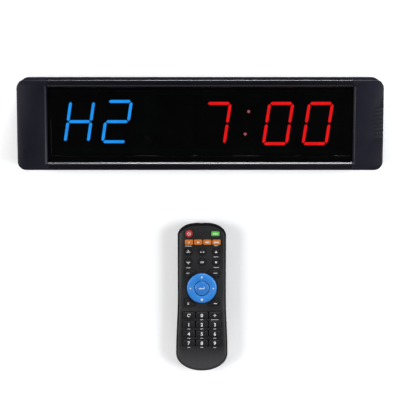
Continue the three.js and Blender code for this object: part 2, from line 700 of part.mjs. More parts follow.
// The infrared receiver: a small block with a domed eye, on the board's front.
function irReceiver() {
  const { x, y, z } = RECEIVER_SIZE;
  const body = block([-x / 2, x / 2], [-y / 2, y / 2], [0, z]);
  const eye = solid(new THREE.SphereGeometry(RECEIVER_DOME_RADIUS, 12, 8).translate(0, 0, z - 0.4));
  return body.add(eye);
}

add(timer, "ir_receiver", materials.component, irReceiver(), { ...RECEIVER_AT, z: MODULE_REAR });

// The buzzer: a drum on the board's rear with a sound port in its far end.
function buzzer() {
  const drum = rod("z", BUZZER_RADIUS, [-BUZZER_HEIGHT, 0], {}, DISC_SIDES);
  const portSpan = [-BUZZER_HEIGHT - PAST, BUZZER_PORT_DEPTH - BUZZER_HEIGHT];
  const port = rod("z", BUZZER_PORT_RADIUS, portSpan, {}, PIN_SIDES);
  return drum.subtract(port);
}

add(timer, "buzzer", materials.component, buzzer(), { ...BUZZER_AT, z: BOARD_REAR_Z - SEAT_GAP });

// The power socket, its mouth at the origin and facing -Y.
function powerSocket() {
  const { x, y, z } = SOCKET_BODY;
  const rearOfWall = CAP_WALL + SEAT_GAP;
  const body = block([-x / 2, x / 2], [rearOfWall, rearOfWall + y], [-z / 2, z / 2]);
  const collar = rod("y", SOCKET_COLLAR_RADIUS, [0, rearOfWall + WELD]);
  const bore = rod("y", SOCKET_BORE_RADIUS, [-PAST, SOCKET_BORE_DEPTH]);
  const pin = rod("y", SOCKET_PIN_RADIUS, [SOCKET_PIN_RECESS, SOCKET_BORE_DEPTH + WELD], {}, PIN_SIDES);
  return body.add(collar).subtract(bore).add(pin);
}

const socketAt = { x: SOCKET_X, y: -HALF_HEIGHT, z: SOCKET_Z };
add(timer, "power_socket", materials.component, powerSocket(), socketAt);

// ---------------------------------------------------------------- handset shells

// The handset's plan outline at an inset, with the heel drawn in further by heelInset.
function handsetOutline(inset, heelInset = 0) {
  const half = HANDSET_HALF_WIDTH - inset;
  const heelHalf = HANDSET_HEEL_HALF_WIDTH - inset;
  const top = HANDSET_LENGTH / 2 - inset;
  const bottom = -HANDSET_LENGTH / 2 + inset + heelInset;
  const corner = { x: TOP_CORNER.x - inset, y: TOP_CORNER.y - inset };
  const heelY = bottom + HEEL_DEPTH - inset;
  const flare = (WAIST_Y - heelY) * HEEL_FLARE;
  const shape = new THREE.Shape();
  shape.moveTo(0, bottom);
  shape.absellipse(0, heelY, heelHalf, heelY - bottom, -Math.PI / 2, 0, false, 0);
  shape.bezierCurveTo(heelHalf, heelY + flare, half, WAIST_Y - flare, half, WAIST_Y);
  shape.lineTo(half, top - corner.y);
  shape.absellipse(half - corner.x, top - corner.y, corner.x, corner.y, 0, Math.PI / 2, false, 0);
  shape.lineTo(-half + corner.x, top);
  shape.absellipse(-half + corner.x, top - corner.y, corner.x, corner.y, Math.PI / 2, Math.PI, false, 0);
  shape.lineTo(-half, WAIST_Y);
  shape.bezierCurveTo(-half, WAIST_Y - flare, -heelHalf, heelY + flare, -heelHalf, heelY);
  shape.absellipse(0, heelY, heelHalf, heelY - bottom, Math.PI, Math.PI * 1.5, false, 0);
  return shape.extractPoints(HANDSET_STEPS).shape;
}

// The underside swells from its flat sole out to the parting plane.
function undersideLayers() {
  const steps = [0, 0.2, 0.45, 0.75, 1];
  return steps.map((t) => ({
    z: HANDSET_PARTING_Z * t,
    points: handsetOutline(UNDERSIDE_INSET * (1 - t) ** 2),
  }));
}

function keyFaceLayers() {
  const faceStart = HANDSET_PARTING_Z + SEAT_GAP;
  return [
    { z: faceStart, points: handsetOutline(0, 0) },
    { z: (faceStart + FACE_Z) / 2, points: handsetOutline(FACE_DRAFT * 0.3, HEEL_STEP * 0.35) },
    { z: FACE_Z - FACE_ROUND, points: handsetOutline(FACE_DRAFT, HEEL_STEP * 0.8) },
    {
      z: FACE_Z - FACE_ROUND * 0.3,
      points: handsetOutline(FACE_DRAFT + FACE_ROUND * 0.35, HEEL_STEP * 0.9),
    },
    { z: FACE_Z, points: handsetOutline(FACE_DRAFT + FACE_ROUND, HEEL_STEP) },
  ];
}

const emitterY = HANDSET_LENGTH / 2 - EMITTER.recess - EMITTER.length;
const emitterHole = rod(
  "y",
  EMITTER.radius + EMITTER.clearance,
  [emitterY, HANDSET_LENGTH / 2 + PAST],
  { z: EMITTER_Z },
);

// The door's outline in two widths: the outer plate, and the tongues that ride on the shell's lips.
function doorSolid(clearance) {
  const end = -HANDSET_LENGTH / 2 - PAST;
  const outer = DOOR_HALF_WIDTH - DOOR_TONGUE + clearance;
  const tongue = DOOR_HALF_WIDTH + clearance;
  const top = DOOR_TOP + clearance;
  const lower = block([-outer, outer], [end, top], [-clearance, DOOR_THICKNESS + clearance]);
  const upper = block([-tongue, tongue], [end, top], [
    DOOR_LIP + DOOR_CLEARANCE - clearance,
    DOOR_THICKNESS + clearance,
  ]);
  return lower.add(upper);
}

function lowerShell() {
  const underside = loft(undersideLayers());
  const wall = (t) => handsetOutline(UNDERSIDE_INSET * (1 - t) ** 2 + HANDSET_WALL);
  const hollow = loft([
    { z: SHELL_FLOOR, points: wall(SHELL_FLOOR / HANDSET_PARTING_Z) },
    { z: HANDSET_PARTING_Z * 0.6, points: wall(0.6) },
    { z: HANDSET_PARTING_Z + PAST, points: wall(1) },
  ]);
  const posts = POSTS.flatMap(({ x, y }) =>
    [-x, x].map((postX) =>
      rod("z", POST_RADIUS, [SHELL_FLOOR - WELD, CIRCUIT_REAR - SEAT_GAP], { x: postX, y }, PIN_SIDES),
    ),
  );
  const wallHeight = [SHELL_FLOOR - WELD, CELL_Z + BAY_RISE];
  const outerX = BAY_HALF_WIDTH + BAY_WALL;
  const bay = block([-outerX, outerX], [BAY_END_Y - BAY_WALL, CELL_BAY_TOP], wallHeight);
  const bayOpening = block(
    [-BAY_HALF_WIDTH, BAY_HALF_WIDTH],
    [BAY_END_Y, CELL_BAY_TOP - BAY_WALL],
    [-PAST, CELL_Z + BAY_RISE + PAST],
  );
  const body = joined([underside.subtract(hollow), bay.intersect(underside), ...posts]);
  return cut(body, [bayOpening, doorSolid(DOOR_CLEARANCE), emitterHole]);
}

function batteryDoor() {
  const door = doorSolid(0).intersect(loft(undersideLayers()));
  const { count, start, pitch, halfLength, width, depth } = DOOR_GRIPS;
  const grips = Array.from({ length: count }, (_, k) => {
    const y = -HANDSET_LENGTH / 2 + start + k * pitch;
    return block([-halfLength, halfLength], [y, y + width], [-PAST, depth]);
  });
  return cut(door, grips);
}

// ---------------------------------------------------------------- keys

function disc(radius, span) {
  return rod("z", radius, span, {}, DISC_SIDES);
}

// A wing key's outline: a rounded corner block with the ring's circle bitten out, in one quadrant.
function wingSolid(grow, span) {
  const x = [WING_KEYS.x[0] - grow, WING_KEYS.x[1] + grow];
  const y = [WING_KEYS.y[0] - grow, WING_KEYS.y[1] + grow];
  const bite = NAV_RING.outer + NAV_RING.clearance + WING_KEYS.web - grow;
  const ring = rod("z", bite, [span[0] - PAST, span[1] + PAST], {}, RING_SIDES);
  return plate(roundedRect(x, y, WING_KEYS.corner), span).subtract(ring);
}

// Each key: its place, and a function that gives its outline grown by gx along X and gy along Y.
function rectangleKey(name, material, x, y, width, height, skirtX = KEY_SKIRT) {
  const solidAt = (gx, gy, span) => plate(centredRect(width + 2 * gx, height + 2 * gy, KEY_CORNER), span);
  return { name, material, x, y, solidAt, skirtX };
}

function roundKey(name, material, x, y, radius) {
  const solidAt = (gx, gy, span) => rod("z", radius + gx, span, {}, HOLE_SIDES);
  return { name, material, x, y, solidAt, skirtX: KEY_SKIRT };
}

function wingKey(name, sx, sy) {
  const solidAt = (gx, gy, span) => {
    let made = wingSolid(gx, span);
    if (sx < 0) made = made.mirror([1, 0, 0]);
    if (sy < 0) made = made.mirror([0, 1, 0]);
    return made;
  };
  return { name, material: materials.keyGrey, x: 0, y: NAV_CENTRE_Y, solidAt, skirtX: KEY_SKIRT / 2 };
}

const colourKeyX = (k) => COLOUR_KEYS.x + (k - (COLOUR_KEYS.count - 1) / 2) * COLOUR_KEYS.pitch;
const numberKeyX = (k) => (k - (NUMBER_KEYS.columns - 1) / 2) * NUMBER_KEYS.pitchX;
const numberKeyY = (row) => NUMBER_KEYS.top - row * NUMBER_KEYS.pitchY;
const NUMBER_NAMES = [
  ["recall", "zero", "plus"],
  ["one", "two", "three"],
  ["four", "five", "six"],
  ["seven", "eight", "nine"],
];
const ROUND_NAMES = [
  ["up_count", "clock", "raise"],
  ["down_count", "interval", "lower"],
];
const COLOUR_NAMES = ["first", "second", "third", "fourth"];

const keys = [
  roundKey("power_key", materials.keyRed, POWER_KEY.x, POWER_KEY.y, POWER_KEY.radius),
  rectangleKey("mode_key", materials.keyGreen, MODE_KEY.x, MODE_KEY.y, MODE_KEY.width, MODE_KEY.height, 0),
  ...COLOUR_NAMES.map((name, k) =>
    rectangleKey(
      `${name}_orange_key`,
      materials.keyOrange,
      colourKeyX(k),
      COLOUR_KEYS.y,
      COLOUR_KEYS.width,
      COLOUR_KEYS.height,
      0,
    ),
  ),
  ...ROUND_NAMES.flatMap((row, r) =>
    row.map((name, k) =>
      roundKey(
        `${name}_key`,
        materials.keyGrey,
        ROUND_KEYS.x + (k - 1) * ROUND_KEYS.pitch,
        ROUND_KEYS.rows[r],
        ROUND_KEYS.radius,
      ),
    ),
  ),
  wingKey("upper_left_wing_key", -1, 1),
  wingKey("upper_right_wing_key", 1, 1),
  wingKey("lower_left_wing_key", -1, -1),
  wingKey("lower_right_wing_key", 1, -1),
  ...NUMBER_NAMES.flatMap((row, r) =>
    row.map((name, k) =>
      rectangleKey(
        `${name}_key`,
        materials.keyGrey,
        numberKeyX(k),
        numberKeyY(r),
        NUMBER_KEYS.width,
        NUMBER_KEYS.height,
        0,
      ),
    ),
  ),
];

function upperShell() {
  const hollow = loft([
    { z: HANDSET_PARTING_Z - PAST, points: handsetOutline(HANDSET_WALL) },
    { z: FACE_UNDERSIDE - FACE_ROUND, points: handsetOutline(HANDSET_WALL + FACE_DRAFT, HEEL_STEP * 0.8) },
    { z: FACE_UNDERSIDE, points: handsetOutline(HANDSET_WALL + FACE_ROUND / 2, HEEL_STEP) },
  ]);
  const through = [FACE_UNDERSIDE - PAST, FACE_Z + PAST];
  const keyHoles = keys.map(({ x, y, solidAt }) =>
    solidAt(KEY_CLEARANCE, KEY_CLEARANCE, through).translate([x, y, 0]),
  );
  const rowHole = (x, y, width, height) => {
    const outline = centredRect(width + 2 * KEY_CLEARANCE, height + 2 * KEY_CLEARANCE, KEY_CORNER);
    return plate(outline, through).translate([x, y, 0]);
  };
  const rowWidth = (NUMBER_KEYS.columns - 1) * NUMBER_KEYS.pitchX + NUMBER_KEYS.width;
  const numberRows = Array.from({ length: NUMBER_KEYS.rows }, (_, r) =>
    rowHole(0, numberKeyY(r), rowWidth, NUMBER_KEYS.height),
  );
  const colourWidth = (COLOUR_KEYS.count - 1) * COLOUR_KEYS.pitch + COLOUR_KEYS.width;
  const colourRow = rowHole(COLOUR_KEYS.x, COLOUR_KEYS.y, colourWidth, COLOUR_KEYS.height);
  const navHole = rod("z", NAV_RING.outer + NAV_RING.clearance, through, { y: NAV_CENTRE_Y }, RING_SIDES);
  const shell = loft(keyFaceLayers()).subtract(hollow);
  return cut(shell, [...keyHoles, ...numberRows, colourRow, navHole, emitterHole]);
}

add(handset, "handset_upper_shell", materials.handset, upperShell());
add(handset, "handset_lower_shell", materials.handset, lowerShell());
add(handset, "battery_door", materials.handset, batteryDoor());

for (const { name, material, x, y, solidAt, skirtX } of keys) {
  const cap = solidAt(0, 0, [-KEY_SKIRT_BOTTOM, KEY_STAND]);
  const skirt = solidAt(skirtX, KEY_SKIRT, [-KEY_SKIRT_BOTTOM, -KEY_SKIRT_TOP]);
  add(handset, name, material, cap.add(skirt), { x, y, z: FACE_Z });
}

// The four-way ring rocks on its pivot collar, and the enter key goes through both.
function navRing() {
  const cap = disc(NAV_RING.outer, [-KEY_SKIRT_BOTTOM, NAV_RING.stand]);
  const skirt = disc(NAV_RING.skirt, [-KEY_SKIRT_BOTTOM, -KEY_SKIRT_BOTTOM + NAV_SKIRT_HEIGHT]);
  const hole = disc(NAV_RING.inner, [-KEY_SKIRT_BOTTOM - PAST, NAV_RING.stand + PAST]);
  return cap.add(skirt).subtract(hole);
}

function navPivot() {
  const { outer, inner, top, bottom } = NAV_PIVOT;
  return disc(outer, [-bottom, -top]).subtract(disc(inner, [-bottom - PAST, -top + PAST]));
}

function enterKey() {
  const { radius, stand, flange, flangeTop, flangeBottom } = ENTER_KEY;
  return disc(radius, [-flangeBottom, stand]).add(disc(flange, [-flangeBottom, -flangeTop]));
}

const navAt = { y: NAV_CENTRE_Y, z: FACE_Z };
add(handset, "four_way_ring", materials.keyBlue, navRing(), navAt);
add(handset, "ring_pivot_collar", materials.component, navPivot(), navAt);
add(handset, "enter_key", materials.keyBlue, enterKey(), navAt);

// ---------------------------------------------------------------- inside the handset

// The rubber pad's and the circuit's outline, its top end cut straight across at topEnd.
function innerSheet(topEnd, span) {
  const sheet = loft([
    { z: span[0], points: handsetOutline(PAD_EDGE_INSET, HEEL_STEP) },
    { z: span[1], points: handsetOutline(PAD_EDGE_INSET, HEEL_STEP) },
  ]);
  const wide = [-HANDSET_LENGTH, HANDSET_LENGTH];
  const beyond = block(wide, [topEnd, HANDSET_LENGTH], [span[0] - PAST, span[1] + PAST]);
  return sheet.subtract(beyond);
}

function keypad() {
  const top = HANDSET_LENGTH / 2 - PAD_EDGE_INSET - 1;
  const hole = rod("z", PAD_NAV_HOLE, [0, FACE_Z], { y: NAV_CENTRE_Y }, DISC_SIDES);
  return innerSheet(top, [PAD_FRONT - PAD_THICKNESS, PAD_FRONT]).subtract(hole);
}

// The circuit, with its battery contacts reaching down into the bay at each end of the cells.
function handsetCircuit() {
  const panel = innerSheet(CIRCUIT_TOP_END, [CIRCUIT_REAR, CIRCUIT_FRONT]);
  const drop = [CONTACT_FOOT, CIRCUIT_REAR + WELD];
  const topContact = [CELL_TOP_Y + CELL_AAA.nub.length + SEAT_GAP, CELL_BAY_TOP - BAY_WALL - SEAT_GAP];
  const endContact = [BAY_END_Y + SEAT_GAP, CELL_END_Y - SEAT_GAP];
  const half = CONTACT_HALF_WIDTH;
  const contacts = [-1, 1].map((side) => {
    const x = (side * CELL_AAA_SPACING) / 2;
    return block([x - half, x + half], topContact, drop);
  });
  const bridge = CELL_AAA_SPACING / 2 + half;
  return joined([panel, ...contacts, block([-bridge, bridge], endContact, drop)]);
}

add(handset, "keypad_sheet", materials.padRubber, keypad());
add(handset, "handset_circuit", materials.circuit, handsetCircuit());

// A 5 mm infrared LED facing +Y, its flange's rear at the origin.
function irEmitter() {
  const { radius, length, flange, flangeDepth } = EMITTER;
  const base = rod("y", flange, [0, flangeDepth]);
  const barrel = rod("y", radius, [flangeDepth - WELD, length - radius]);
  const dome = solid(new THREE.SphereGeometry(radius, 16, 8).translate(0, length - radius, 0));
  return joined([base, barrel, dome]);
}

add(handset, "ir_emitter", materials.emitter, irEmitter(), { y: emitterY, z: EMITTER_Z });

// One AAA cell lying along Y, its middle at the origin and its nub towards +Y.
function aaaCell() {
  const { radius, length, nub } = CELL_AAA;
  const can = rod("y", radius, [-length / 2, length / 2], {}, DISC_SIDES);
  return can.add(rod("y", nub.radius, [length / 2 - WELD, length / 2 + nub.length], {}, HOLE_SIDES));
}

for (const [name, side] of [
  ["left", -1],
  ["right", 1],
]) {
  const made = side < 0 ? aaaCell() : aaaCell().mirror([0, 1, 0]);
  const at = { x: (side * CELL_AAA_SPACING) / 2, y: CELL_MIDDLE_Y, z: CELL_Z };
  add(handset, `${name}_battery`, materials.battery, made, at);
}

export default timer;
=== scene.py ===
import math

import bmesh
import bpy
from mathutils import Matrix, Vector


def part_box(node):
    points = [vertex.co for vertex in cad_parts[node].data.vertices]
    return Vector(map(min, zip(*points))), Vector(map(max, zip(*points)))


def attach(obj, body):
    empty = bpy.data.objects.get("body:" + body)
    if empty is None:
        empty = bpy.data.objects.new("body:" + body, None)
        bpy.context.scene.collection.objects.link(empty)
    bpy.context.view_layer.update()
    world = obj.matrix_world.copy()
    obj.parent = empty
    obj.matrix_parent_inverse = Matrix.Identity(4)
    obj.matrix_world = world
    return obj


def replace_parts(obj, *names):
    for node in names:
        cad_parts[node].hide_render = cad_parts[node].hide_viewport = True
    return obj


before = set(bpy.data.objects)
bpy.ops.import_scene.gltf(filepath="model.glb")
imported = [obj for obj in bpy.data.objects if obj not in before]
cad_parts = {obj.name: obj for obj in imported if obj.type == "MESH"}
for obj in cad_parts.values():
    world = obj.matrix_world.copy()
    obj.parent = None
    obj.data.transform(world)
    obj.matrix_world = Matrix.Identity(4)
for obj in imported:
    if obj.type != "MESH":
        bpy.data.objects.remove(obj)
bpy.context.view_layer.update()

mm = 0.001


# ------------------------------------------------------------------ table, lamps and viewpoint
# The display lies on its back on a light table with its handset below it, keys up. The viewpoint is
# almost straight above them, leaning a little towards the display's top side.

viewpoint_aim = Vector((-0.15, -66.03, 34)) * mm
viewpoint_distance = 1400 * mm
viewpoint_lean = math.radians(8.7)

toward_viewer = Vector((0, math.sin(viewpoint_lean), math.cos(viewpoint_lean)))
viewer = bpy.data.objects.new("viewpoint", bpy.data.cameras.new("viewpoint"))
viewer.location = viewpoint_aim + toward_viewer * viewpoint_distance
viewer.rotation_euler = (-viewpoint_lean, 0, 0)
viewer.data.lens = 143.3
viewer.data.sensor_width = 36
viewer.data.clip_end = 20
bpy.context.scene.collection.objects.link(viewer)
bpy.context.scene.camera = viewer
bpy.context.scene.view_settings.view_transform = "Standard"


def link(name, mesh):
    made = bpy.data.objects.new(name, mesh)
    bpy.context.scene.collection.objects.link(made)
    return made


def softbox(name, place, aim, width, height, watts, colour=(1, 1, 1)):
    light = bpy.data.lights.new(name, "AREA")
    light.shape = "RECTANGLE"
    light.size = width
    light.size_y = height
    light.energy = watts
    light.color = colour
    lamp = link(name, light)
    lamp.location = place
    lamp.rotation_euler = (Vector(aim) - Vector(place)).to_track_quat("-Z", "Y").to_euler()
    return lamp


softbox("left_softbox", (-1.5, -0.06, 1.5), (0, -0.08, 0), 1.0, 0.9, 27)
softbox("right_softbox", (1.5, -0.06, 1.5), (0, -0.08, 0), 1.0, 0.9, 30, (0.95, 0.97, 1))
softbox("near_softbox", (0, -1.9, 1.5), (0, -0.08, 0), 1.8, 1.0, 6)
softbox("far_strip", (0.08, 1.15, 0.24), (0, -0.04, 0.03), 0.5, 0.2, 20, (0.93, 0.95, 1))
softbox("far_softbox", (0, 1.9, 1.6), (0, -0.04, 0), 1.6, 0.5, 9)

world = bpy.data.worlds.new("studio")
world.use_nodes = True
world.node_tree.nodes["Background"].inputs["Color"].default_value = (0.9, 0.94, 1.0, 1)
world.node_tree.nodes["Background"].inputs["Strength"].default_value = 0.03
bpy.context.scene.world = world

# The table's top is just under the timer, so that the two never share a plane.
table_reach = 4.0
table_height = -0.4 * mm
table_mesh = bpy.data.meshes.new("table")
table_corners = ((-1, -1), (1, -1), (1, 1), (-1, 1))
table_mesh.from_pydata(
    [(x * table_reach, y * table_reach, table_height) for x, y in table_corners], [], [(0, 1, 2, 3)]
)
table = link("table", table_mesh)
table.visible_glossy = False


# Every finish starts from one Principled shader, with its even values set on the shader's own sockets.
def finish(name, roughness=0.5, metallic=0.0, coat=0.0, specular=0.5):
    made = bpy.data.materials.new(name)
    made.use_nodes = True
    shader = made.node_tree.nodes["Principled BSDF"]
    shader.inputs["Roughness"].default_value = roughness
    shader.inputs["Metallic"].default_value = metallic
    shader.inputs["Coat Weight"].default_value = coat
    shader.inputs["Specular IOR Level"].default_value = specular
    return made, made.node_tree, shader


def rgba(colour):
    return (*colour, 1.0)


def new_group(name, inputs, outputs):
    """An empty node group with float inputs (name: default) or colours, and the outputs named."""
    made = bpy.data.node_groups.new(name, "ShaderNodeTree")
    for label, value in inputs.items():
        kind = "NodeSocketColor" if isinstance(value, tuple) else "NodeSocketFloat"
        socket = made.interface.new_socket(label, in_out="INPUT", socket_type=kind)
        socket.default_value = rgba(value) if isinstance(value, tuple) else value
    for label, kind in outputs.items():
        made.interface.new_socket(label, in_out="OUTPUT", socket_type=kind)
    return made, made.nodes.new("NodeGroupInput"), made.nodes.new("NodeGroupOutput")


COLOUR, FLOAT = "NodeSocketColor", "NodeSocketFloat"


def spotted(tree, scale, detail=2.0, coordinates=None):
    """Noise over the object's own coordinates, in spots per metre."""
    if coordinates is None:
        coordinates = tree.nodes.new("ShaderNodeTexCoord").outputs["Object"]
    noise = tree.nodes.new("ShaderNodeTexNoise")
    noise.inputs["Detail"].default_value = detail
    tree.links.new(coordinates, noise.inputs["Vector"])
    if isinstance(scale, (int, float)):
        noise.inputs["Scale"].default_value = scale
    else:
        tree.links.new(scale, noise.inputs["Scale"])
    return noise.outputs["Fac"]


def ranged(tree, value, low_in, high_in, low_out, high_out):
    """Value stretched from one range to another; each limit is a number or a socket."""
    node = tree.nodes.new("ShaderNodeMapRange")
    for label, given in zip(
        ("Value", "From Min", "From Max", "To Min", "To Max"), (value, low_in, high_in, low_out, high_out)
    ):
        if isinstance(given, (int, float)):
            node.inputs[label].default_value = given
        else:
            tree.links.new(given, node.inputs[label])
    return node.outputs["Result"]


def mixed(tree, factor, first, second):
    node = tree.nodes.new("ShaderNodeMix")
    node.data_type = "RGBA"
    for index, given in ((0, factor), (6, first), (7, second)):
        if isinstance(given, (int, float)):
            node.inputs[index].default_value = given
        elif isinstance(given, tuple):
            node.inputs[index].default_value = rgba(given)
        else:
            tree.links.new(given, node.inputs[index])
    return node.outputs[2]


def bumped(tree, shader, height, distance, strength=1.0):
    bump = tree.nodes.new("ShaderNodeBump")
    bump.inputs["Distance"].default_value = distance
    bump.inputs["Strength"].default_value = strength
    tree.links.new(height, bump.inputs["Height"])
    tree.links.new(bump.outputs["Normal"], shader.inputs["Normal"])


# Moulded or sprayed surface: a fine grain, slow patches of colour, and gloss that varies with handling.
def make_surface_group():
    group, given, out = new_group(
        "fine_surface",
        {
            "Colour": (0.5, 0.5, 0.5),
            "Patch Colour": (0.4, 0.4, 0.4),
            "Grain Scale": 2500.0,
            "Patch Scale": 25.0,
            "Roughness": 0.5,
            "Roughness Swing": 0.08,
        },
        {"Colour": COLOUR, "Roughness": FLOAT, "Height": FLOAT},
    )
    grain = spotted(group, given.outputs["Grain Scale"], 3.0)
    patches = spotted(group, given.outputs["Patch Scale"], 4.0)
    softened = ranged(group, patches, 0.35, 0.65, 0.0, 1.0)
    colour = mixed(group, softened, given.outputs["Colour"], given.outputs["Patch Colour"])
    swing = group.nodes.new("ShaderNodeMath")
    swing.operation = "MULTIPLY_ADD"
    centred = ranged(group, patches, 0.3, 0.7, -0.5, 0.5)
    group.links.new(centred, swing.inputs[0])
    group.links.new(given.outputs["Roughness Swing"], swing.inputs[1])
    group.links.new(given.outputs["Roughness"], swing.inputs[2])
    group.links.new(colour, out.inputs["Colour"])
    group.links.new(swing.outputs[0], out.inputs["Roughness"])
    group.links.new(grain, out.inputs["Height"])
    return group


# Edge wear: where the surface turns sharply, handling has polished it a little paler.
def make_edge_group():
    group, given, out = new_group(
        "polished_edges",
        {"Colour": (0.5, 0.5, 0.5), "Edge Colour": (0.7, 0.7, 0.7), "Amount": 0.5},
        {"Colour": COLOUR, "Mask": FLOAT},
    )
    rounded = group.nodes.new("ShaderNodeBevel")
    rounded.samples = 4
    rounded.inputs["Radius"].default_value = 0.5 * mm
    geometry = group.nodes.new("ShaderNodeNewGeometry")
    dot = group.nodes.new("ShaderNodeVectorMath")
    dot.operation = "DOT_PRODUCT"
    group.links.new(rounded.outputs["Normal"], dot.inputs[0])
    group.links.new(geometry.outputs["Normal"], dot.inputs[1])
    turned = ranged(group, dot.outputs["Value"], 1.0, 0.8, 0.0, 1.0)
    broken = ranged(group, spotted(group, 400.0, 3.0), 0.35, 0.7, 0.2, 1.0)
    mask = group.nodes.new("ShaderNodeMath")
    mask.operation = "MULTIPLY"
    group.links.new(turned, mask.inputs[0])
    group.links.new(broken, mask.inputs[1])
    scaled = group.nodes.new("ShaderNodeMath")
    scaled.operation = "MULTIPLY"
    group.links.new(mask.outputs[0], scaled.inputs[0])
    group.links.new(given.outputs["Amount"], scaled.inputs[1])
    colour = mixed(group, scaled.outputs[0], given.outputs["Colour"], given.outputs["Edge Colour"])
    group.links.new(colour, out.inputs["Colour"])
    group.links.new(scaled.outputs[0], out.inputs["Mask"])
    return group


surface_group = make_surface_group()
edge_group = make_edge_group()


def placed(tree, group, values):
    node = tree.nodes.new("ShaderNodeGroup")
    node.node_tree = group
    for label, value in values.items():
        node.inputs[label].default_value = rgba(value) if isinstance(value, tuple) else value
    return node


def grained(
    name,
    colour,
    patch,
    edge,
    roughness=0.5,
    swing=0.1,
    grain=2500.0,
    patches=25.0,
    depth=0.01,
    wear=0.4,
    metallic=0.0,
    coat=0.0,
    specular=0.5,
):
    """A finish with grain, patches and polished edges; depth is the grain's height in mm."""
    made, tree, shader = finish(name, roughness, metallic, coat, specular)
    surface = placed(
        tree,
        surface_group,
        {
            "Colour": colour,
            "Patch Colour": patch,
            "Grain Scale": grain,
            "Patch Scale": patches,
            "Roughness": roughness,
            "Roughness Swing": swing,
        },
    )
    edges = placed(tree, edge_group, {"Edge Colour": edge, "Amount": wear})
    tree.links.new(surface.outputs["Colour"], edges.inputs["Colour"])
    tree.links.new(edges.outputs["Colour"], shader.inputs["Base Color"])
    tree.links.new(surface.outputs["Roughness"], shader.inputs["Roughness"])
    bumped(tree, shader, surface.outputs["Height"], depth * mm)
    return made


table_finish = grained(
    "pale_table",
    (0.93, 0.93, 0.93),
    (0.9, 0.9, 0.9),
    (0.93, 0.93, 0.93),
    roughness=0.9,
    swing=0.04,
    grain=600.0,
    patches=2.0,
    depth=0.02,
    wear=0.0,
    specular=0.1,
)
table_shader = table_finish.node_tree.nodes["Principled BSDF"]
table_shader.inputs["Emission Color"].default_value = rgba((1.0, 1.0, 1.0))
table_shader.inputs["Emission Strength"].default_value = 0.21
table.data.materials.append(table_finish)


# ------------------------------------------------------------------ display case
# The case is an aluminium extrusion, anodised a dark navy, with a chamfered bar above and below the
# window. Each end is closed by a satin moulded cap, held by two screws into ports in the extrusion.

SMOOTH_BELOW = math.radians(35)


def smoothed(mesh):
    mesh.shade_smooth()
    mesh.set_sharp_from_angle(angle=SMOOTH_BELOW)


def dressed(node_name, material):
    """A CAD solid that keeps its own shape: it takes a finish, and its curved faces shade smoothly."""
    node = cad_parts[node_name]
    node.data.materials.clear()
    node.data.materials.append(material)
    smoothed(node.data)
    return node


def eased(node_name, name, material, body, ease, segments=2, sharper_than=40):
    """A copy of a CAD solid with its faces cleaned up and every sharp edge eased by a small radius."""
    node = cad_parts[node_name]
    form = bmesh.new()
    form.from_mesh(node.data)
    bmesh.ops.remove_doubles(form, verts=form.verts, dist=1e-6)
    bmesh.ops.dissolve_limit(
        form,
        angle_limit=math.radians(0.5),
        verts=form.verts,
        edges=form.edges,
    )
    mesh = bpy.data.meshes.new(name)
    form.to_mesh(mesh)
    form.free()
    made = link(name, mesh)
    bevel = made.modifiers.new("eased_edges", "BEVEL")
    bevel.width = ease * mm
    bevel.segments = segments
    bevel.limit_method = "ANGLE"
    bevel.angle_limit = math.radians(sharper_than)
    bevel.harden_normals = True
    smoothed(mesh)
    mesh.materials.clear()
    mesh.materials.append(material)
    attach(made, body)
    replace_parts(made, node_name)
    return made


case_finish = grained(
    "navy_anodising",
    (0.0016, 0.0015, 0.0032),
    (0.0024, 0.0022, 0.0052),
    (0.03, 0.03, 0.055),
    roughness=0.26,
    swing=0.08,
    grain=3500.0,
    patches=14.0,
    depth=0.004,
    wear=0.3,
    specular=0.55,
)
cap_finish = grained(
    "navy_moulding",
    (0.0038, 0.0038, 0.0088),
    (0.0056, 0.0056, 0.0122),
    (0.03, 0.03, 0.05),
    roughness=0.42,
    swing=0.1,
    grain=1800.0,
    patches=22.0,
    depth=0.012,
    wear=0.3,
    specular=0.22,
)

eased("case_extrusion", "display_case", case_finish, "display", 0.18)
for side in ("left", "right"):
    eased(f"{side}_end_cap", f"{side}_moulded_cap", cap_finish, "display", 0.22)

# Zinc plate: bright metal with small crystals and fine scratches.
zinc_finish = grained(
    "zinc_plate",
    (0.52, 0.53, 0.55),
    (0.40, 0.41, 0.43),
    (0.75, 0.75, 0.76),
    roughness=0.32,
    swing=0.16,
    grain=5000.0,
    patches=300.0,
    depth=0.006,
    wear=0.6,
    metallic=1.0,
)
for side in ("left", "right"):
    for end in ("lower", "upper"):
        dressed(f"{side}_{end}_cap_screw", zinc_finish)
    slider = f"{side}_hanger_slider"
    eased(f"{side}_hanger", f"{side}_keyhole_hanger", zinc_finish, slider, 0.25)


# ------------------------------------------------------------------ window lens
# One sheet of acrylic smoked almost black, so the display behind it shows only where it is lit. Its
# polished edges sit in grooves behind the bars and the caps.

lens_opacity = 0.55

lens_finish, lens_tree, lens_shader = finish("smoked_acrylic", roughness=0.22, specular=0.1)
lens_shader.inputs["Alpha"].default_value = lens_opacity
lens_tree.links.new(
    mixed(
        lens_tree,
        ranged(lens_tree, spotted(lens_tree, 18.0, 4.0), 0.3, 0.7, 0.0, 1.0),
        (0.0012, 0.0012, 0.0014),
        (0.0018, 0.0018, 0.0018),
    ),
    lens_shader.inputs["Base Color"],
)
wiped = ranged(lens_tree, spotted(lens_tree, 60.0, 6.0), 0.35, 0.75, 0.18, 0.28)
lens_tree.links.new(wiped, lens_shader.inputs["Roughness"])

eased("front_lens", "smoked_lens", lens_finish, "display", 0.3)


# ------------------------------------------------------------------ LED digits
# Six seven-segment modules: black potted blocks with a leaning digit of clear bars in each face. The two
# left of the gap are blue and count rounds, and the four right of it are red and show the time.

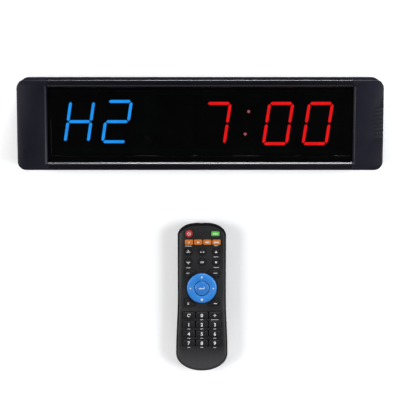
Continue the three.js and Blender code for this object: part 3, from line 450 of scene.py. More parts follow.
digit_height = 38.1 * mm
digit_width = 22.8 * mm
digit_lean = math.tan(math.radians(8.5))
segment_width = 2.6 * mm
segment_gap = 0.55 * mm
segment_proud = 0.4 * mm


def stacked(name, rings, closed_top=True, closed_bottom=True):
    """A closed skin through rings of points, from the lowest up, each with the same number of points."""
    count = len(rings[0])
    faces = []
    for level in range(len(rings) - 1):
        for i in range(count):
            j = (i + 1) % count
            a, b = level * count, (level + 1) * count
            faces.append((a + i, a + j, b + j, b + i))
    if closed_bottom:
        faces.append(tuple(reversed(range(count))))
    if closed_top:
        top = (len(rings) - 1) * count
        faces.append(tuple(range(top, top + count)))
    mesh = bpy.data.meshes.new(name)
    mesh.from_pydata([point for ring in rings for point in ring], [], faces)
    mesh.validate()
    return mesh


def inset_outline(outline, inset):
    """The outline moved inwards by inset along its own corners; the points run anticlockwise."""
    moved = []
    for i, point in enumerate(outline):
        before = (Vector(point) - Vector(outline[i - 1])).normalized()
        after = (Vector(outline[(i + 1) % len(outline)]) - Vector(point)).normalized()
        inward_before = Vector((-before.y, before.x))
        inward_after = Vector((-after.y, after.x))
        middle = (inward_before + inward_after).normalized()
        moved.append(Vector(point) + middle * inset / max(middle.dot(inward_after), 0.35))
    return moved


def softened_plate(name, outline, low, high, ease, steps=4):
    """A plate of one outline whose upper edge is rounded over by ease."""
    rings = [[(p[0], p[1], low) for p in outline]]
    for k in range(steps + 1):
        turn = math.pi / 2 * k / steps
        ring = inset_outline(outline, ease * (1 - math.cos(turn)))
        rings.append([(p.x, p.y, high - ease + ease * math.sin(turn)) for p in ring])
    return stacked(name, rings)


def segment_outlines(centre):
    """Outlines of segments a to g, clockwise from the top and the middle last, round a digit's centre."""
    half = segment_width / 2
    across = digit_width / 2 - half
    up = digit_height / 2 - half

    def bar(x0, y0, x1, y1):
        along = Vector((x1 - x0, y1 - y0)).normalized()
        side = Vector((-along.y, along.x)) * half
        start = Vector((x0, y0)) + along * segment_gap
        end = Vector((x1, y1)) - along * segment_gap
        near, far = start + along * half, end - along * half
        corners = [start, near - side, far - side, end, far + side, near + side]
        return [(centre.x + c.x + c.y * digit_lean, centre.y + c.y) for c in corners]

    return {
        "a": bar(-across, up, across, up),
        "b": bar(across, 0, across, up),
        "c": bar(across, -up, across, 0),
        "d": bar(-across, -up, across, -up),
        "e": bar(-across, -up, -across, 0),
        "f": bar(-across, 0, -across, up),
        "g": bar(-across, 0, across, 0),
    }


# A lit bar's glow: clear resin over lamps, a little brighter over each lamp.
def make_glow_group():
    group, given, out = new_group(
        "lamp_glow",
        {"Colour": (0.5, 0.5, 0.5), "Dimmer": (0.4, 0.4, 0.4)},
        {"Glow": COLOUR, "Resin": COLOUR, "Height": FLOAT},
    )
    lamps = ranged(group, spotted(group, 170.0, 1.0), 0.35, 0.65, 0.0, 1.0)
    glow = mixed(group, lamps, given.outputs["Dimmer"], given.outputs["Colour"])
    group.links.new(glow, out.inputs["Glow"])
    group.links.new(mixed(group, lamps, (0.02, 0.02, 0.02), (0.03, 0.03, 0.03)), out.inputs["Resin"])
    group.links.new(spotted(group, 3000.0), out.inputs["Height"])
    return group


glow_group = make_glow_group()


def lit_finish(name, colour, brightness):
    """A finish that shines in that colour, dimmer between its lamps."""
    made, tree, shader = finish(name, roughness=0.35)
    dimmer = tuple(0.86 * channel for channel in colour)
    glow = placed(tree, glow_group, {"Colour": colour, "Dimmer": dimmer})
    tree.links.new(glow.outputs["Glow"], shader.inputs["Emission Color"])
    shader.inputs["Emission Strength"].default_value = brightness
    tree.links.new(glow.outputs["Resin"], shader.inputs["Base Color"])
    bumped(tree, shader, glow.outputs["Height"], 0.004 * mm)
    return made


glow_through_lens = 1 / (1 - lens_opacity) ** 2
blue_light = lit_finish("blue_lit_bar", (0.014, 0.31, 0.93), glow_through_lens)
red_light = lit_finish("red_lit_bar", (0.86, 0.0062, 0.0075), glow_through_lens)
dim_red_light = lit_finish("colon_lamp", (0.36, 0.09, 0.1), glow_through_lens)
unlit_finish = grained(
    "unlit_bar",
    (0.0026, 0.0026, 0.0028),
    (0.002, 0.002, 0.0022),
    (0.006, 0.006, 0.006),
    roughness=0.4,
    wear=0.1,
    depth=0.004,
    specular=0.08,
)
potting_finish = grained(
    "black_potting",
    (0.0022, 0.0022, 0.0024),
    (0.0032, 0.0032, 0.0034),
    (0.01, 0.01, 0.01),
    roughness=0.6,
    swing=0.15,
    grain=900.0,
    depth=0.006,
    wear=0.2,
    specular=0.08,
)

lit_bars = {"0": "abcdef", "2": "abged", "7": "abc", "H": "bcefg", " ": ""}
readout = {
    "round_tens": ("H", blue_light),
    "round_units": ("2", blue_light),
    "minute_tens": (" ", red_light),
    "minute_units": ("7", red_light),
    "second_tens": ("0", red_light),
    "second_units": ("0", red_light),
}


def rounded_outline(low, high, radius, steps=5):
    """A rectangle's outline with rounded corners, anticlockwise from its lower right corner."""
    points = []
    corners = (
        (high[0] - radius, low[1] + radius, -90),
        (high[0] - radius, high[1] - radius, 0),
        (low[0] + radius, high[1] - radius, 90),
        (low[0] + radius, low[1] + radius, 180),
    )
    for x, y, start in corners:
        for k in range(steps + 1):
            turn = math.radians(start + 90 * k / steps)
            points.append((x + radius * math.cos(turn), y + radius * math.sin(turn)))
    return points


def on_body(name, mesh, material, body):
    made = link(name, mesh)
    mesh.materials.append(material)
    smoothed(mesh)
    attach(made, body)
    return made


for place, (character, light) in readout.items():
    node_name = f"{place}_digit"
    low, high = (Vector(corner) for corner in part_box(node_name))
    centre = (low + high) / 2
    face = high.z - segment_proud
    slot_name = "blue_digit" if "round" in place else "red_digit"
    block = softened_plate(f"{place}_block", rounded_outline(low, high, 0.8 * mm), low.z, face, 0.3 * mm)
    made = on_body(f"{place}_block", block, potting_finish, "display")
    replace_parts(made, node_name)
    for letter, outline in segment_outlines(centre).items():
        bar = softened_plate(f"{place}_bar_{letter}", outline, face, high.z, 0.25 * mm, 3)
        lit = letter in lit_bars[character]
        on_body(f"{place}_bar_{letter}", bar, light if lit else unlit_finish, "display")

# The colon between the minutes and the seconds: two small round lamps in a narrow block, leaning too.
colon_spacing = 19.9 * mm
colon_lamp_radius = 1.3 * mm
low, high = (Vector(corner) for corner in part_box("colon_lamps"))
centre = (low + high) / 2
face = high.z - segment_proud


def circle_outline(centre, radius, steps=32):
    turns = (2 * math.pi * k / steps for k in range(steps))
    return [(centre[0] + radius * math.cos(t), centre[1] + radius * math.sin(t)) for t in turns]


block = softened_plate("colon_block", rounded_outline(low, high, 0.8 * mm), low.z, face, 0.3 * mm)
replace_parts(on_body("colon_block", block, potting_finish, "display"), "colon_lamps")
for name, side in (("lower", -1), ("upper", 1)):
    rise = side * colon_spacing / 2
    outline = circle_outline((centre.x + rise * digit_lean, centre.y + rise), colon_lamp_radius)
    lamp = softened_plate(f"colon_{name}_lamp", outline, face, high.z, 0.35 * mm)
    on_body(f"colon_{name}_lamp", lamp, dim_red_light, "display")


# ------------------------------------------------------------------ circuit board and its parts
# A glass-fibre board with a dark solder mask, slid into the extrusion's inner grooves. Its chip, clock
# cell holder, infrared receiver, buzzer and power socket are soldered on.

board_finish, board_tree, board_shader = finish("dark_solder_mask", roughness=0.45, specular=0.12)
weave = board_tree.nodes.new("ShaderNodeTexBrick")
weave.inputs["Scale"].default_value = 220.0
weave.inputs["Color1"].default_value = rgba((0.004, 0.012, 0.007))
weave.inputs["Color2"].default_value = rgba((0.005, 0.015, 0.009))
weave.inputs["Mortar"].default_value = rgba((0.009, 0.026, 0.015))
weave.inputs["Mortar Size"].default_value = 0.03
board_tree.links.new(board_tree.nodes.new("ShaderNodeTexCoord").outputs["Object"], weave.inputs["Vector"])
board_tree.links.new(weave.outputs["Color"], board_shader.inputs["Base Color"])
board_tree.links.new(
    ranged(board_tree, spotted(board_tree, 90.0), 0.3, 0.7, 0.35, 0.55), board_shader.inputs["Roughness"]
)
bumped(board_tree, board_shader, weave.outputs["Fac"], 0.03 * mm)

component_finish = grained(
    "black_component",
    (0.009, 0.009, 0.01),
    (0.014, 0.014, 0.015),
    (0.05, 0.05, 0.05),
    roughness=0.5,
    swing=0.15,
    grain=1500.0,
    depth=0.015,
    wear=0.3,
)
dressed("display_board", board_finish)
for node_name in ("ir_receiver", "buzzer", "power_socket"):
    dressed(node_name, component_finish)


# ------------------------------------------------------------------ handset shells
# Two injection-moulded shells in near-black satin plastic, meeting at a seam round the sides. The upper
# one carries the key face, and the battery door slides in grooves in the lower one.

handset_finish = grained(
    "satin_black_moulding",
    (0.0095, 0.0095, 0.0102),
    (0.0125, 0.0125, 0.0132),
    (0.05, 0.05, 0.052),
    roughness=0.42,
    swing=0.1,
    grain=2200.0,
    patches=40.0,
    depth=0.016,
    wear=0.35,
    specular=0.4,
)

# The face's heel is textured with fine ribs along it. The extra light those ribs catch is painted into the
# base colour as a paler ribbed sheen, which fades in between two places along the handset.
heel_from_y = -200 * mm
heel_full_y = -216 * mm
heel_tree = handset_finish.node_tree
heel_shader = heel_tree.nodes["Principled BSDF"]
heel_place = heel_tree.nodes.new("ShaderNodeSeparateXYZ")
heel_object = heel_tree.nodes.new("ShaderNodeTexCoord").outputs["Object"]
heel_tree.links.new(heel_object, heel_place.inputs[0])
heel_ribs = heel_tree.nodes.new("ShaderNodeTexWave")
heel_ribs.inputs["Scale"].default_value = 290.0
heel_ribs.inputs["Distortion"].default_value = 0.6
heel_tree.links.new(heel_object, heel_ribs.inputs["Vector"])
heel_start = ranged(heel_tree, heel_place.outputs["Y"], heel_from_y, heel_full_y, 0.0, 1.0)
heel_painted_sheen = heel_tree.nodes.new("ShaderNodeMath")
heel_painted_sheen.operation = "MULTIPLY"
heel_tree.links.new(heel_start, heel_painted_sheen.inputs[0])
heel_tree.links.new(
    ranged(heel_tree, heel_ribs.outputs["Fac"], 0.2, 0.8, 0.45, 1.0), heel_painted_sheen.inputs[1]
)
heel_before = heel_shader.inputs["Base Color"].links[0].from_socket
# Painted sheen: the heel's base colour is mixed towards a paler grey along the ribs, standing in for the
# light they catch.
heel_colour_with_painted_sheen = mixed(heel_tree, heel_painted_sheen.outputs[0], heel_before, (0.055, 0.055, 0.058))
heel_tree.links.new(heel_colour_with_painted_sheen, heel_shader.inputs["Base Color"])

back_finish = grained(
    "gloss_black_moulding",
    (0.0065, 0.0065, 0.007),
    (0.009, 0.009, 0.0095),
    (0.05, 0.05, 0.05),
    roughness=0.24,
    swing=0.08,
    grain=1400.0,
    patches=60.0,
    depth=0.008,
    wear=0.3,
)
eased("handset_upper_shell", "handset_key_face", handset_finish, "handset", 0.12)
eased("handset_lower_shell", "handset_back", back_finish, "handset", 0.15)
eased("battery_door", "sliding_battery_door", back_finish, "battery_door_slider", 0.15)


# ------------------------------------------------------------------ keys
# Silicone keys moulded in the colour of each, with a flange that keeps them behind the key face. Their
# tops are crowned and rounded over, and the legends are printed on.

key_skirt = 0.7 * mm
skirt_height = 1.4 * mm
key_round = 0.7 * mm
key_crown = 0.06 * mm


def silicone(name, colour, roughness=0.55):
    paler = tuple(min(1.0, 1.35 * channel + 0.01) for channel in colour)
    deeper = tuple(0.86 * channel for channel in colour)
    return grained(
        name,
        colour,
        deeper,
        paler,
        roughness,
        swing=0.08,
        grain=3200.0,
        patches=180.0,
        depth=0.01,
        wear=0.3,
        specular=0.3,
    )


grey_silicone = silicone("grey_silicone", (0.0042, 0.0042, 0.0056))
red_silicone = silicone("red_silicone", (0.42, 0.032, 0.026))
green_silicone = silicone("green_silicone", (0.12, 0.5, 0.08))
orange_silicone = silicone("orange_silicone", (0.52, 0.155, 0.024))


def crowned_key(name, outline, low, high, skirt_outline):
    """A key from its flange up: outline is its cap, rounded over at the top and a little crowned."""
    edge = high - key_crown
    rings = [
        [(x, y, low) for x, y in skirt_outline],
        [(x, y, low + skirt_height) for x, y in skirt_outline],
        [(x, y, low + skirt_height) for x, y in outline],
        [(x, y, edge - key_round) for x, y in outline],
    ]
    steps = 4
    for k in range(1, steps + 1):
        turn = math.pi / 2 * k / steps
        ring = inset_outline(outline, key_round * (1 - math.cos(turn)))
        rings.append([(p.x, p.y, edge - key_round * (1 - math.sin(turn))) for p in ring])
    brow = rings[-1]
    middle = sum((Vector(p) for p in brow), Vector()) / len(brow)
    for share in (0.7, 0.4, 0.12):
        rise = key_crown * (1 - share**2)
        rings.append(
            [
                (middle.x + (x - middle.x) * share, middle.y + (y - middle.y) * share, edge + rise)
                for x, y, z in brow
            ]
        )
    return stacked(name, rings)


def add_key(node_name, outline, skirt_outline, material):
    low, high = (Vector(corner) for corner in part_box(node_name))
    mesh = crowned_key(f"{node_name}_cap", outline, low.z, high.z, skirt_outline)
    made = on_body(f"{node_name}_cap", mesh, material, node_name)
    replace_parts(made, node_name)
    return made


round_keys = {
    "power_key": (red_silicone, "red_key"),
    **{
        f"{name}_key": (grey_silicone, "grey_key")
        for name in ("up_count", "clock", "raise", "down_count", "interval", "lower")
    },
}
for node_name, (material, slot_name) in round_keys.items():
    low, high = (Vector(corner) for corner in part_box(node_name))
    centre = (low + high) / 2
    radius = (high.x - low.x) / 2
    cap = circle_outline(centre, radius - key_skirt, 40)
    add_key(node_name, cap, circle_outline(centre, radius, 40), material)

number_rows = (
    ("recall", "zero", "plus"),
    ("one", "two", "three"),
    ("four", "five", "six"),
    ("seven", "eight", "nine"),
)
orange_names = ("first", "second", "third", "fourth")
square_keys = {
    "mode_key": (green_silicone, "green_key"),
    **{f"{name}_orange_key": (orange_silicone, "orange_key") for name in orange_names},
    **{f"{name}_key": (grey_silicone, "grey_key") for row in number_rows for name in row},
}
square_corner = 1.1 * mm
for node_name, (material, slot_name) in square_keys.items():
    low, high = (Vector(corner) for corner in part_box(node_name))
    inner_low = (low.x, low.y + key_skirt)
    inner_high = (high.x, high.y - key_skirt)
    cap = rounded_outline(inner_low, inner_high, square_corner)
    add_key(node_name, cap, rounded_outline(low, high, square_corner), material)


# ------------------------------------------------------------------ four-way ring, enter key and wings
# The ring and the enter key inside it are moulded in a satin blue plastic. The ring rocks on a collar
# that doesn't show. Four silicone wing keys fit round it, one to each quarter.

ring_low, ring_high = (Vector(corner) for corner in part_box("four_way_ring"))
ring_centre = (ring_low + ring_high) / 2
ring_skirt = 1.0 * mm
ring_skirt_height = 0.9 * mm
ring_skirt_radius = (ring_high.x - ring_low.x) / 2
ring_radius = ring_skirt_radius - ring_skirt
ring_hole_radius = 6.95 * mm
ring_skirt_top = ring_low.z + ring_skirt_height


def turned(name, centre, profile, steps=96):
    """A ring or knob turned about an upright axis, from anticlockwise (radius, height) points."""
    hollow = profile[0][0] > 0
    mesh = bpy.data.meshes.new(name)
    form = bmesh.new()
    loops = []
    for k in range(steps):
        turn = 2 * math.pi * k / steps
        loops.append(
            [
                form.verts.new((centre[0] + r * math.cos(turn), centre[1] + r * math.sin(turn), z))
                for r, z in profile
            ]
        )
    count = len(profile)
    spans = range(count) if hollow else range(count - 1)
    for k in range(steps):
        here, there = loops[k], loops[(k + 1) % steps]
        for i in spans:
            j = (i + 1) % count
            form.faces.new((here[i], there[i], there[j], here[j]))
    bmesh.ops.remove_doubles(form, verts=form.verts, dist=1e-7)
    bmesh.ops.recalc_face_normals(form, faces=form.faces)
    form.to_mesh(mesh)
    form.free()
    return mesh


def arc(centre, radius, start, end, steps=6):
    turns = (math.radians(start + (end - start) * k / steps) for k in range(steps + 1))
    return [(centre[0] + radius * math.cos(t), centre[1] + radius * math.sin(t)) for t in turns]


blue_finish = grained(
    "satin_blue_moulding",
    (0.028, 0.19, 0.56),
    (0.033, 0.215, 0.61),
    (0.1, 0.3, 0.68),
    roughness=0.34,
    swing=0.1,
    grain=2400.0,
    patches=90.0,
    depth=0.008,
    wear=0.4,
    coat=0.15,
)
enter_finish = grained(
    "satin_blue_enter",
    (0.022, 0.16, 0.49),
    (0.027, 0.18, 0.53),
    (0.09, 0.28, 0.62),
    roughness=0.32,
    swing=0.1,
    grain=2400.0,
    patches=90.0,
    depth=0.008,
    wear=0.4,
    coat=0.15,
)

# The ring's outer edge is rounded over by its rim and its hole's edge by its lip, and the band between
# them is dished a little.
rim = 1.1 * mm
rim_drop = 0.25 * mm
rim_width = 2.6 * mm
lip = 0.45 * mm
lip_drop = 0.3 * mm
lip_width = 2.2 * mm
dish = 0.12 * mm
ring_top = ring_high.z
ring_profile = [
    (ring_hole_radius, ring_low.z),
    (ring_skirt_radius, ring_low.z),
    (ring_skirt_radius, ring_skirt_top),
    (ring_radius, ring_skirt_top),
    *arc((ring_radius - rim, ring_top - rim - rim_drop), rim, 0, 80),
    (ring_radius - rim_width, ring_top),
    (ring_hole_radius + lip_width, ring_top - dish),
    *arc((ring_hole_radius + lip, ring_top - lip - lip_drop), lip, 90, 180, 4),
]
ring_mesh = turned("blue_four_way_ring", ring_centre, ring_profile)
ring = on_body("blue_four_way_ring", ring_mesh, blue_finish, "four_way_ring")
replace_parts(ring, "four_way_ring")

enter_low, enter_high = (Vector(corner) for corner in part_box("enter_key"))
enter_radius = 6.5 * mm
enter_flange = (enter_high.x - enter_low.x) / 2
enter_flange_top = enter_low.z + 0.7 * mm
enter_round = 0.8 * mm
enter_round_depth = 1.25 * mm
enter_profile = [
    (0, enter_low.z),
    (enter_flange, enter_low.z),
    (enter_flange, enter_flange_top),
    (enter_radius, enter_flange_top),
    *arc((enter_radius - enter_round, enter_high.z - enter_round_depth), enter_round, 0, 75),
    (enter_radius * 0.62, enter_high.z - 0.12 * mm),
    (enter_radius * 0.3, enter_high.z - 0.02 * mm),
    (0, enter_high.z),
]
enter_mesh = turned("blue_enter_key", ring_centre, enter_profile)
enter = on_body("blue_enter_key", enter_mesh, enter_finish, "enter_key")
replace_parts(enter, "enter_key")

wing_reach = (5.0 * mm, 15.6 * mm)
wing_rise = (8.8 * mm, 16.6 * mm)
wing_web = 1.5 * mm
wing_corner = 3.4 * mm
wing_side_points = 60
wing_bite_steps = 15
just_outside = 1.00001
ring_clearance = 0.5 * mm


def evenly_spaced(path, count):
    """That many points along a path, evenly spaced, from its start to its end."""
    lengths = [(path[i + 1] - path[i]).length for i in range(len(path) - 1)]
    step = sum(lengths) / (count - 1)
    points, travelled, i = [path[0]], 0.0, 0
    for k in range(1, count - 1):
        while travelled + lengths[i] < k * step:
            travelled += lengths[i]
            i += 1
        points.append(path[i].lerp(path[i + 1], (k * step - travelled) / lengths[i]))
    return [*points, path[-1]]


def wing_outline(side_x, side_y, grow):
    """A wing's outline: a rounded corner block with the ring's circle bitten out of its inner side."""
    bite = ring_radius + ring_clearance + wing_web - grow
    low = (wing_reach[0] - grow, wing_rise[0] - grow)
    high = (wing_reach[1] + grow, wing_rise[1] + grow)
    corners = [Vector(point) for point in rounded_outline(low, high, wing_corner, 12)]
    path = []
    for i, start in enumerate(corners):
        end = corners[(i + 1) % len(corners)]
        path.append(start)
        if (start.length > bite) != (end.length > bite):
            crossing = start.lerp(end, (start.length - bite) / (start.length - end.length))
            path.append(crossing * just_outside * bite / crossing.length)
    outside = [point.length > bite for point in path]
    begin = next(i for i in range(len(path)) if outside[i] and not outside[i - 1])
    kept = [point for point in path[begin:] + path[:begin] if point.length > bite]
    start = math.atan2(kept[-1].y, kept[-1].x)
    end = math.atan2(kept[0].y, kept[0].x)
    turns = (start + (end - start) * k / wing_bite_steps for k in range(1, wing_bite_steps))
    bitten = [Vector((bite * math.cos(t), bite * math.sin(t))) for t in turns]
    points = evenly_spaced(kept, wing_side_points) + bitten
    placed_points = [(ring_centre.x + side_x * p.x, ring_centre.y + side_y * p.y) for p in points]
    return placed_points if side_x * side_y > 0 else list(reversed(placed_points))


wing_ease = 0.5 * mm
for name_y, side_y in (("upper", 1), ("lower", -1)):
    for name_x, side_x in (("left", -1), ("right", 1)):
        node_name = f"{name_y}_{name_x}_wing_key"
        low, high = (Vector(corner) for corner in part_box(node_name))
        turns = [math.pi / 2 * k / 4 for k in range(5)]
        levels = [
            (key_skirt / 2, low.z),
            (key_skirt / 2, low.z + skirt_height),
            (0, low.z + skirt_height),
            *((-wing_ease * (1 - math.cos(t)), high.z - wing_ease * (1 - math.sin(t))) for t in turns),
        ]
        rings = [[(x, y, z) for x, y in wing_outline(side_x, side_y, grow)] for grow, z in levels]
        wing_mesh = stacked(f"{node_name}_cap", rings)
        made = on_body(f"{node_name}_cap", wing_mesh, grey_silicone, node_name)
        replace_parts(made, node_name)


# ------------------------------------------------------------------ printed legends
# White ink on the keys and the key face: the numbers, arrows and plain signs, and short tick marks
# where the face carries small print.

ink_finish = grained(
    "white_ink",
    (0.78, 0.78, 0.78),
    (0.68, 0.68, 0.68),
    (0.8, 0.8, 0.8),
    roughness=0.6,
    grain=4000.0,
    patches=900.0,
    depth=0.006,
    wear=0.0,
)
ink_thickness = 0.05 * mm
numeral_weight = 0.09 * mm


def printed(name, outlines, height, body):
    """Flat shapes of ink, as one thin piece whose lower side is sunk in the surface at that height."""
    mesh = bpy.data.meshes.new(name)
    vertices, faces = [], []
    for outline in outlines:
        first, count = len(vertices), len(outline)
        vertices += [(x, y, height - ink_thickness) for x, y in outline]
        vertices += [(x, y, height + ink_thickness / 2) for x, y in outline]
        faces.append(tuple(first + i for i in reversed(range(count))))
        faces.append(tuple(first + count + i for i in range(count)))
        for i in range(count):
            j = (i + 1) % count
            faces.append((first + i, first + j, first + count + j, first + count + i))
    mesh.from_pydata(vertices, [], faces)
    return on_body(name, mesh, ink_finish, body)


def bar_at(x, y, width, height):
    return [
        (x - width / 2, y - height / 2),
        (x + width / 2, y - height / 2),
        (x + width / 2, y + height / 2),
        (x - width / 2, y + height / 2),
    ]


def pointer_at(x, y, size, degrees):
    """A triangle that points that way, anticlockwise from +X."""
    turns = (math.radians(degrees + step) for step in (0, 120, 240))
    return [(x + size * math.cos(t), y + size * math.sin(t)) for t in turns]


def band_at(x, y, radius, width, start, end, steps=20):
    """Part of a ring, as outlines of small four-sided pieces."""
    pieces = []
    for k in range(steps):
        a = math.radians(start + (end - start) * k / steps)
        b = math.radians(start + (end - start) * (k + 1) / steps)
        inner, outer = radius - width / 2, radius + width / 2
        pieces.append(
            [
                (x + inner * math.cos(a), y + inner * math.sin(a)),
                (x + outer * math.cos(a), y + outer * math.sin(a)),
                (x + outer * math.cos(b), y + outer * math.sin(b)),
                (x + inner * math.cos(b), y + inner * math.sin(b)),
            ]
        )
    return pieces


def numeral(name, character, centre, height, size, body):
    """A number in ink, cut from the plain built-in letter shapes."""
    curve = bpy.data.curves.new(name, "FONT")
    curve.body = character
    curve.size = size
    curve.align_x = "CENTER"
    curve.align_y = "CENTER"
    curve.extrude = ink_thickness
    curve.offset = numeral_weight
    curve.resolution_u = 4
    text = link(f"{name}_text", curve)
    bpy.context.view_layer.update()
    mesh = bpy.data.meshes.new_from_object(text.evaluated_get(bpy.context.evaluated_depsgraph_get()))
    bpy.data.objects.remove(text)
    xs = [v.co.x for v in mesh.vertices]
    ys = [v.co.y for v in mesh.vertices]
    middle_x = (min(xs) + max(xs)) / 2
    middle_y = (min(ys) + max(ys)) / 2
    shift = Vector((centre[0] - middle_x, centre[1] - middle_y, height - ink_thickness / 2))
    mesh.transform(Matrix.Translation(shift))
    mesh.name = name
    return on_body(name, mesh, ink_finish, body)


def top_of(node_name):
    low, high = (Vector(corner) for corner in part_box(node_name))
    return Vector(((low.x + high.x) / 2, (low.y + high.y) / 2, high.z))


numeral_size = 4.3 * mm
digit_names = ("zero", "one", "two", "three", "four", "five", "six", "seven", "eight", "nine")
for value, name in enumerate(digit_names):
    spot = top_of(f"{name}_key")
    numeral(f"{name}_key_number", str(value), spot, spot.z, numeral_size, f"{name}_key")

spot = top_of("recall_key")
back_arrow = band_at(spot.x, spot.y, 1.2 * mm, 0.45 * mm, 40, 300) + [
    pointer_at(spot.x + 1.0 * mm, spot.y + 0.9 * mm, 0.8 * mm, -50)
]
printed("recall_key_sign", back_arrow, spot.z, "recall_key")
spot = top_of("plus_key")
plus_sign = [bar_at(spot.x, spot.y, 2.6 * mm, 0.5 * mm), bar_at(spot.x, spot.y, 0.5 * mm, 2.6 * mm)]
printed("plus_key_sign", plus_sign, spot.z, "plus_key")

spot = top_of("power_key")
power_sign = band_at(spot.x, spot.y, 1.25 * mm, 0.4 * mm, 125, 415) + [
    bar_at(spot.x, spot.y + 0.9 * mm, 0.4 * mm, 1.5 * mm)
]
printed("power_key_sign", power_sign, spot.z, "power_key")

spot = top_of("mode_key")
mode_sign = [bar_at(spot.x + k * 1.5 * mm, spot.y, 1.0 * mm, 1.0 * mm) for k in (-1, 0, 1)]
printed("mode_key_sign", mode_sign, spot.z, "mode_key")
for count, name in enumerate(orange_names, 1):
    spot = top_of(f"{name}_orange_key")
    marks = [
        bar_at(spot.x + (k - (count - 1) / 2) * 1.2 * mm, spot.y, 0.6 * mm, 1.5 * mm) for k in range(count)
    ]
    printed(f"{name}_orange_key_sign", marks, spot.z, f"{name}_orange_key")

spot = top_of("raise_key")
printed("raise_key_sign", [pointer_at(spot.x, spot.y, 1.3 * mm, 90)], spot.z, "raise_key")
spot = top_of("lower_key")
printed("lower_key_sign", [pointer_at(spot.x, spot.y, 1.3 * mm, -90)], spot.z, "lower_key")
spot = top_of("up_count_key")
up_sign = [
    bar_at(spot.x, spot.y, 3.2 * mm, 0.5 * mm),
    pointer_at(spot.x, spot.y + 1.2 * mm, 0.7 * mm, 90),
]
printed("up_count_key_sign", up_sign, spot.z, "up_count_key")
spot = top_of("down_count_key")
down_sign = [
    bar_at(spot.x, spot.y, 3.2 * mm, 0.5 * mm),
    pointer_at(spot.x, spot.y - 1.2 * mm, 0.7 * mm, -90),
]
printed("down_count_key_sign", down_sign, spot.z, "down_count_key")
spot = top_of("clock_key")
clock_sign = [
    pointer_at(spot.x - 1.2 * mm, spot.y, 0.8 * mm, 180),
    pointer_at(spot.x + 1.2 * mm, spot.y, 0.8 * mm, 0),
]
printed("clock_key_sign", clock_sign, spot.z, "clock_key")
spot = top_of("interval_key")
interval_sign = [bar_at(spot.x + k * 1.1 * mm, spot.y, 0.5 * mm, 1.5 * mm) for k in (-1, 0, 1)]
printed("interval_key_sign", interval_sign, spot.z, "interval_key")

sign_radius = 10.2 * mm
for name, side, degrees in (("left", -1, 180), ("right", 1, 0)):
    x = ring_centre.x + side * sign_radius
    pointer = pointer_at(x, ring_centre.y, 0.9 * mm, degrees)
    printed(f"ring_{name}_pointer", [pointer], ring_top, "four_way_ring")
start_sign = [pointer_at(ring_centre.x, ring_centre.y + sign_radius, 1.1 * mm, 0)]
printed("ring_start_sign", start_sign, ring_top, "four_way_ring")
stop_sign = [bar_at(ring_centre.x, ring_centre.y - sign_radius, 1.7 * mm, 1.7 * mm)]
printed("ring_stop_sign", stop_sign, ring_top, "four_way_ring")
enter_sign = [
    bar_at(ring_centre.x + 0.3 * mm, ring_centre.y, 3.6 * mm, 0.5 * mm),
    bar_at(ring_centre.x + 2.1 * mm, ring_centre.y + 0.75 * mm, 0.5 * mm, 2.0 * mm),
    pointer_at(ring_centre.x - 1.8 * mm, ring_centre.y, 1.0 * mm, 180),
]
printed("enter_key_sign", enter_sign, enter_high.z, "enter_key")

# Each wing's sign is a few bars: place across and up from the sign's middle, width and height, in mm.
wing_sign_x = 12.2 * mm
wing_sign_y = 13.9 * mm
wing_signs = {
    "upper_left": [(-0.9, 0, 1.0, 0.5), (0.5, 0, 0.9, 0.5)],
    "upper_right": [(-1.2, 0, 0.9, 0.5), (0, 0, 0.9, 0.5), (1.2, 0, 0.9, 0.5)],
    "lower_left": [(0, 0.6, 1.7, 0.45), (0, -0.6, 1.7, 0.45), (0, 0, 0.5, 1.6)],
    "lower_right": [(0, 0, 2.8, 0.55)],
}
for name, bars in wing_signs.items():
    x = ring_centre.x + wing_sign_x * (1 if "right" in name else -1)
    y = ring_centre.y + wing_sign_y * (1 if "upper" in name else -1)
    sign = [bar_at(x + dx * mm, y + dy * mm, w * mm, h * mm) for dx, dy, w, h in bars]
    node_name = f"{name}_wing_key"
    printed(f"{node_name}_sign", sign, top_of(node_name).z, node_name)

# Short broken bars of small print on the face, under the keys that have them.
face_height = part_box("handset_upper_shell")[1][2]
tick_pitch = 0.95 * mm
tick_share = 0.72
tick_height = 0.55 * mm
number_tick_drop = 4.25 * mm


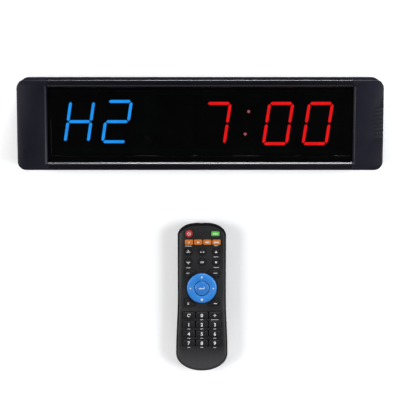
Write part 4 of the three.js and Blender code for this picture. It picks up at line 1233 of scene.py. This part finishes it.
def tick_row(x, y, width):
    """A line of small print at that place, as a few short bars."""
    count = max(2, round(width / tick_pitch))
    step = width / count
    first = x - (count - 1) / 2 * step
    return [bar_at(first + k * step, y, step * tick_share, tick_height) for k in range(count)]


ticks = []
for row in number_rows:
    for name in row:
        spot = top_of(f"{name}_key")
        width = 6.5 * mm if name == "plus" else 2.6 * mm
        if name != "recall":
            ticks += tick_row(spot.x, spot.y - number_tick_drop, width)
# The round keys that have small print: how far below the key's middle it is, and its width, in mm.
for name, drop, width in (
    ("up_count", -5.3, 5.6),
    ("raise", -5.6, 3.6),
    ("raise", 4.55, 4.2),
    ("down_count", 5.3, 3.6),
    ("lower", 5.0, 4.6),
):
    spot = top_of(f"{name}_key")
    ticks += tick_row(spot.x, spot.y - drop * mm, width * mm)
printed("face_tick_marks", ticks, face_height, "handset")


# ------------------------------------------------------------------ inside the handset
# A silicone sheet under the keys, a circuit with its contact strips, the infrared lamp behind the top
# edge, the ring's collar, and two cells in plain sleeves.

handset_board_finish = grained(
    "green_solder_mask",
    (0.012, 0.07, 0.028),
    (0.016, 0.085, 0.034),
    (0.1, 0.2, 0.12),
    roughness=0.4,
    grain=900.0,
    patches=200.0,
    depth=0.02,
)
sleeve_finish = grained(
    "cell_sleeve",
    (0.35, 0.35, 0.34),
    (0.3, 0.3, 0.29),
    (0.6, 0.6, 0.6),
    roughness=0.3,
    grain=1200.0,
    patches=80.0,
    metallic=0.7,
)
emitter_finish = grained(
    "tinted_resin",
    (0.02, 0.008, 0.026),
    (0.028, 0.012, 0.035),
    (0.08, 0.05, 0.1),
    roughness=0.12,
    swing=0.04,
    depth=0.003,
    coat=0.4,
)
pad_finish = silicone("keypad_silicone", (0.012, 0.012, 0.014))
dressed("keypad_sheet", pad_finish)
dressed("handset_circuit", handset_board_finish)
dressed("ir_emitter", emitter_finish)
dressed("ring_pivot_collar", component_finish)
for side in ("left", "right"):
    dressed(f"{side}_battery", sleeve_finish)


# ------------------------------------------------------------------ last update
# The view layer is brought up to date.

bpy.context.view_layer.update()
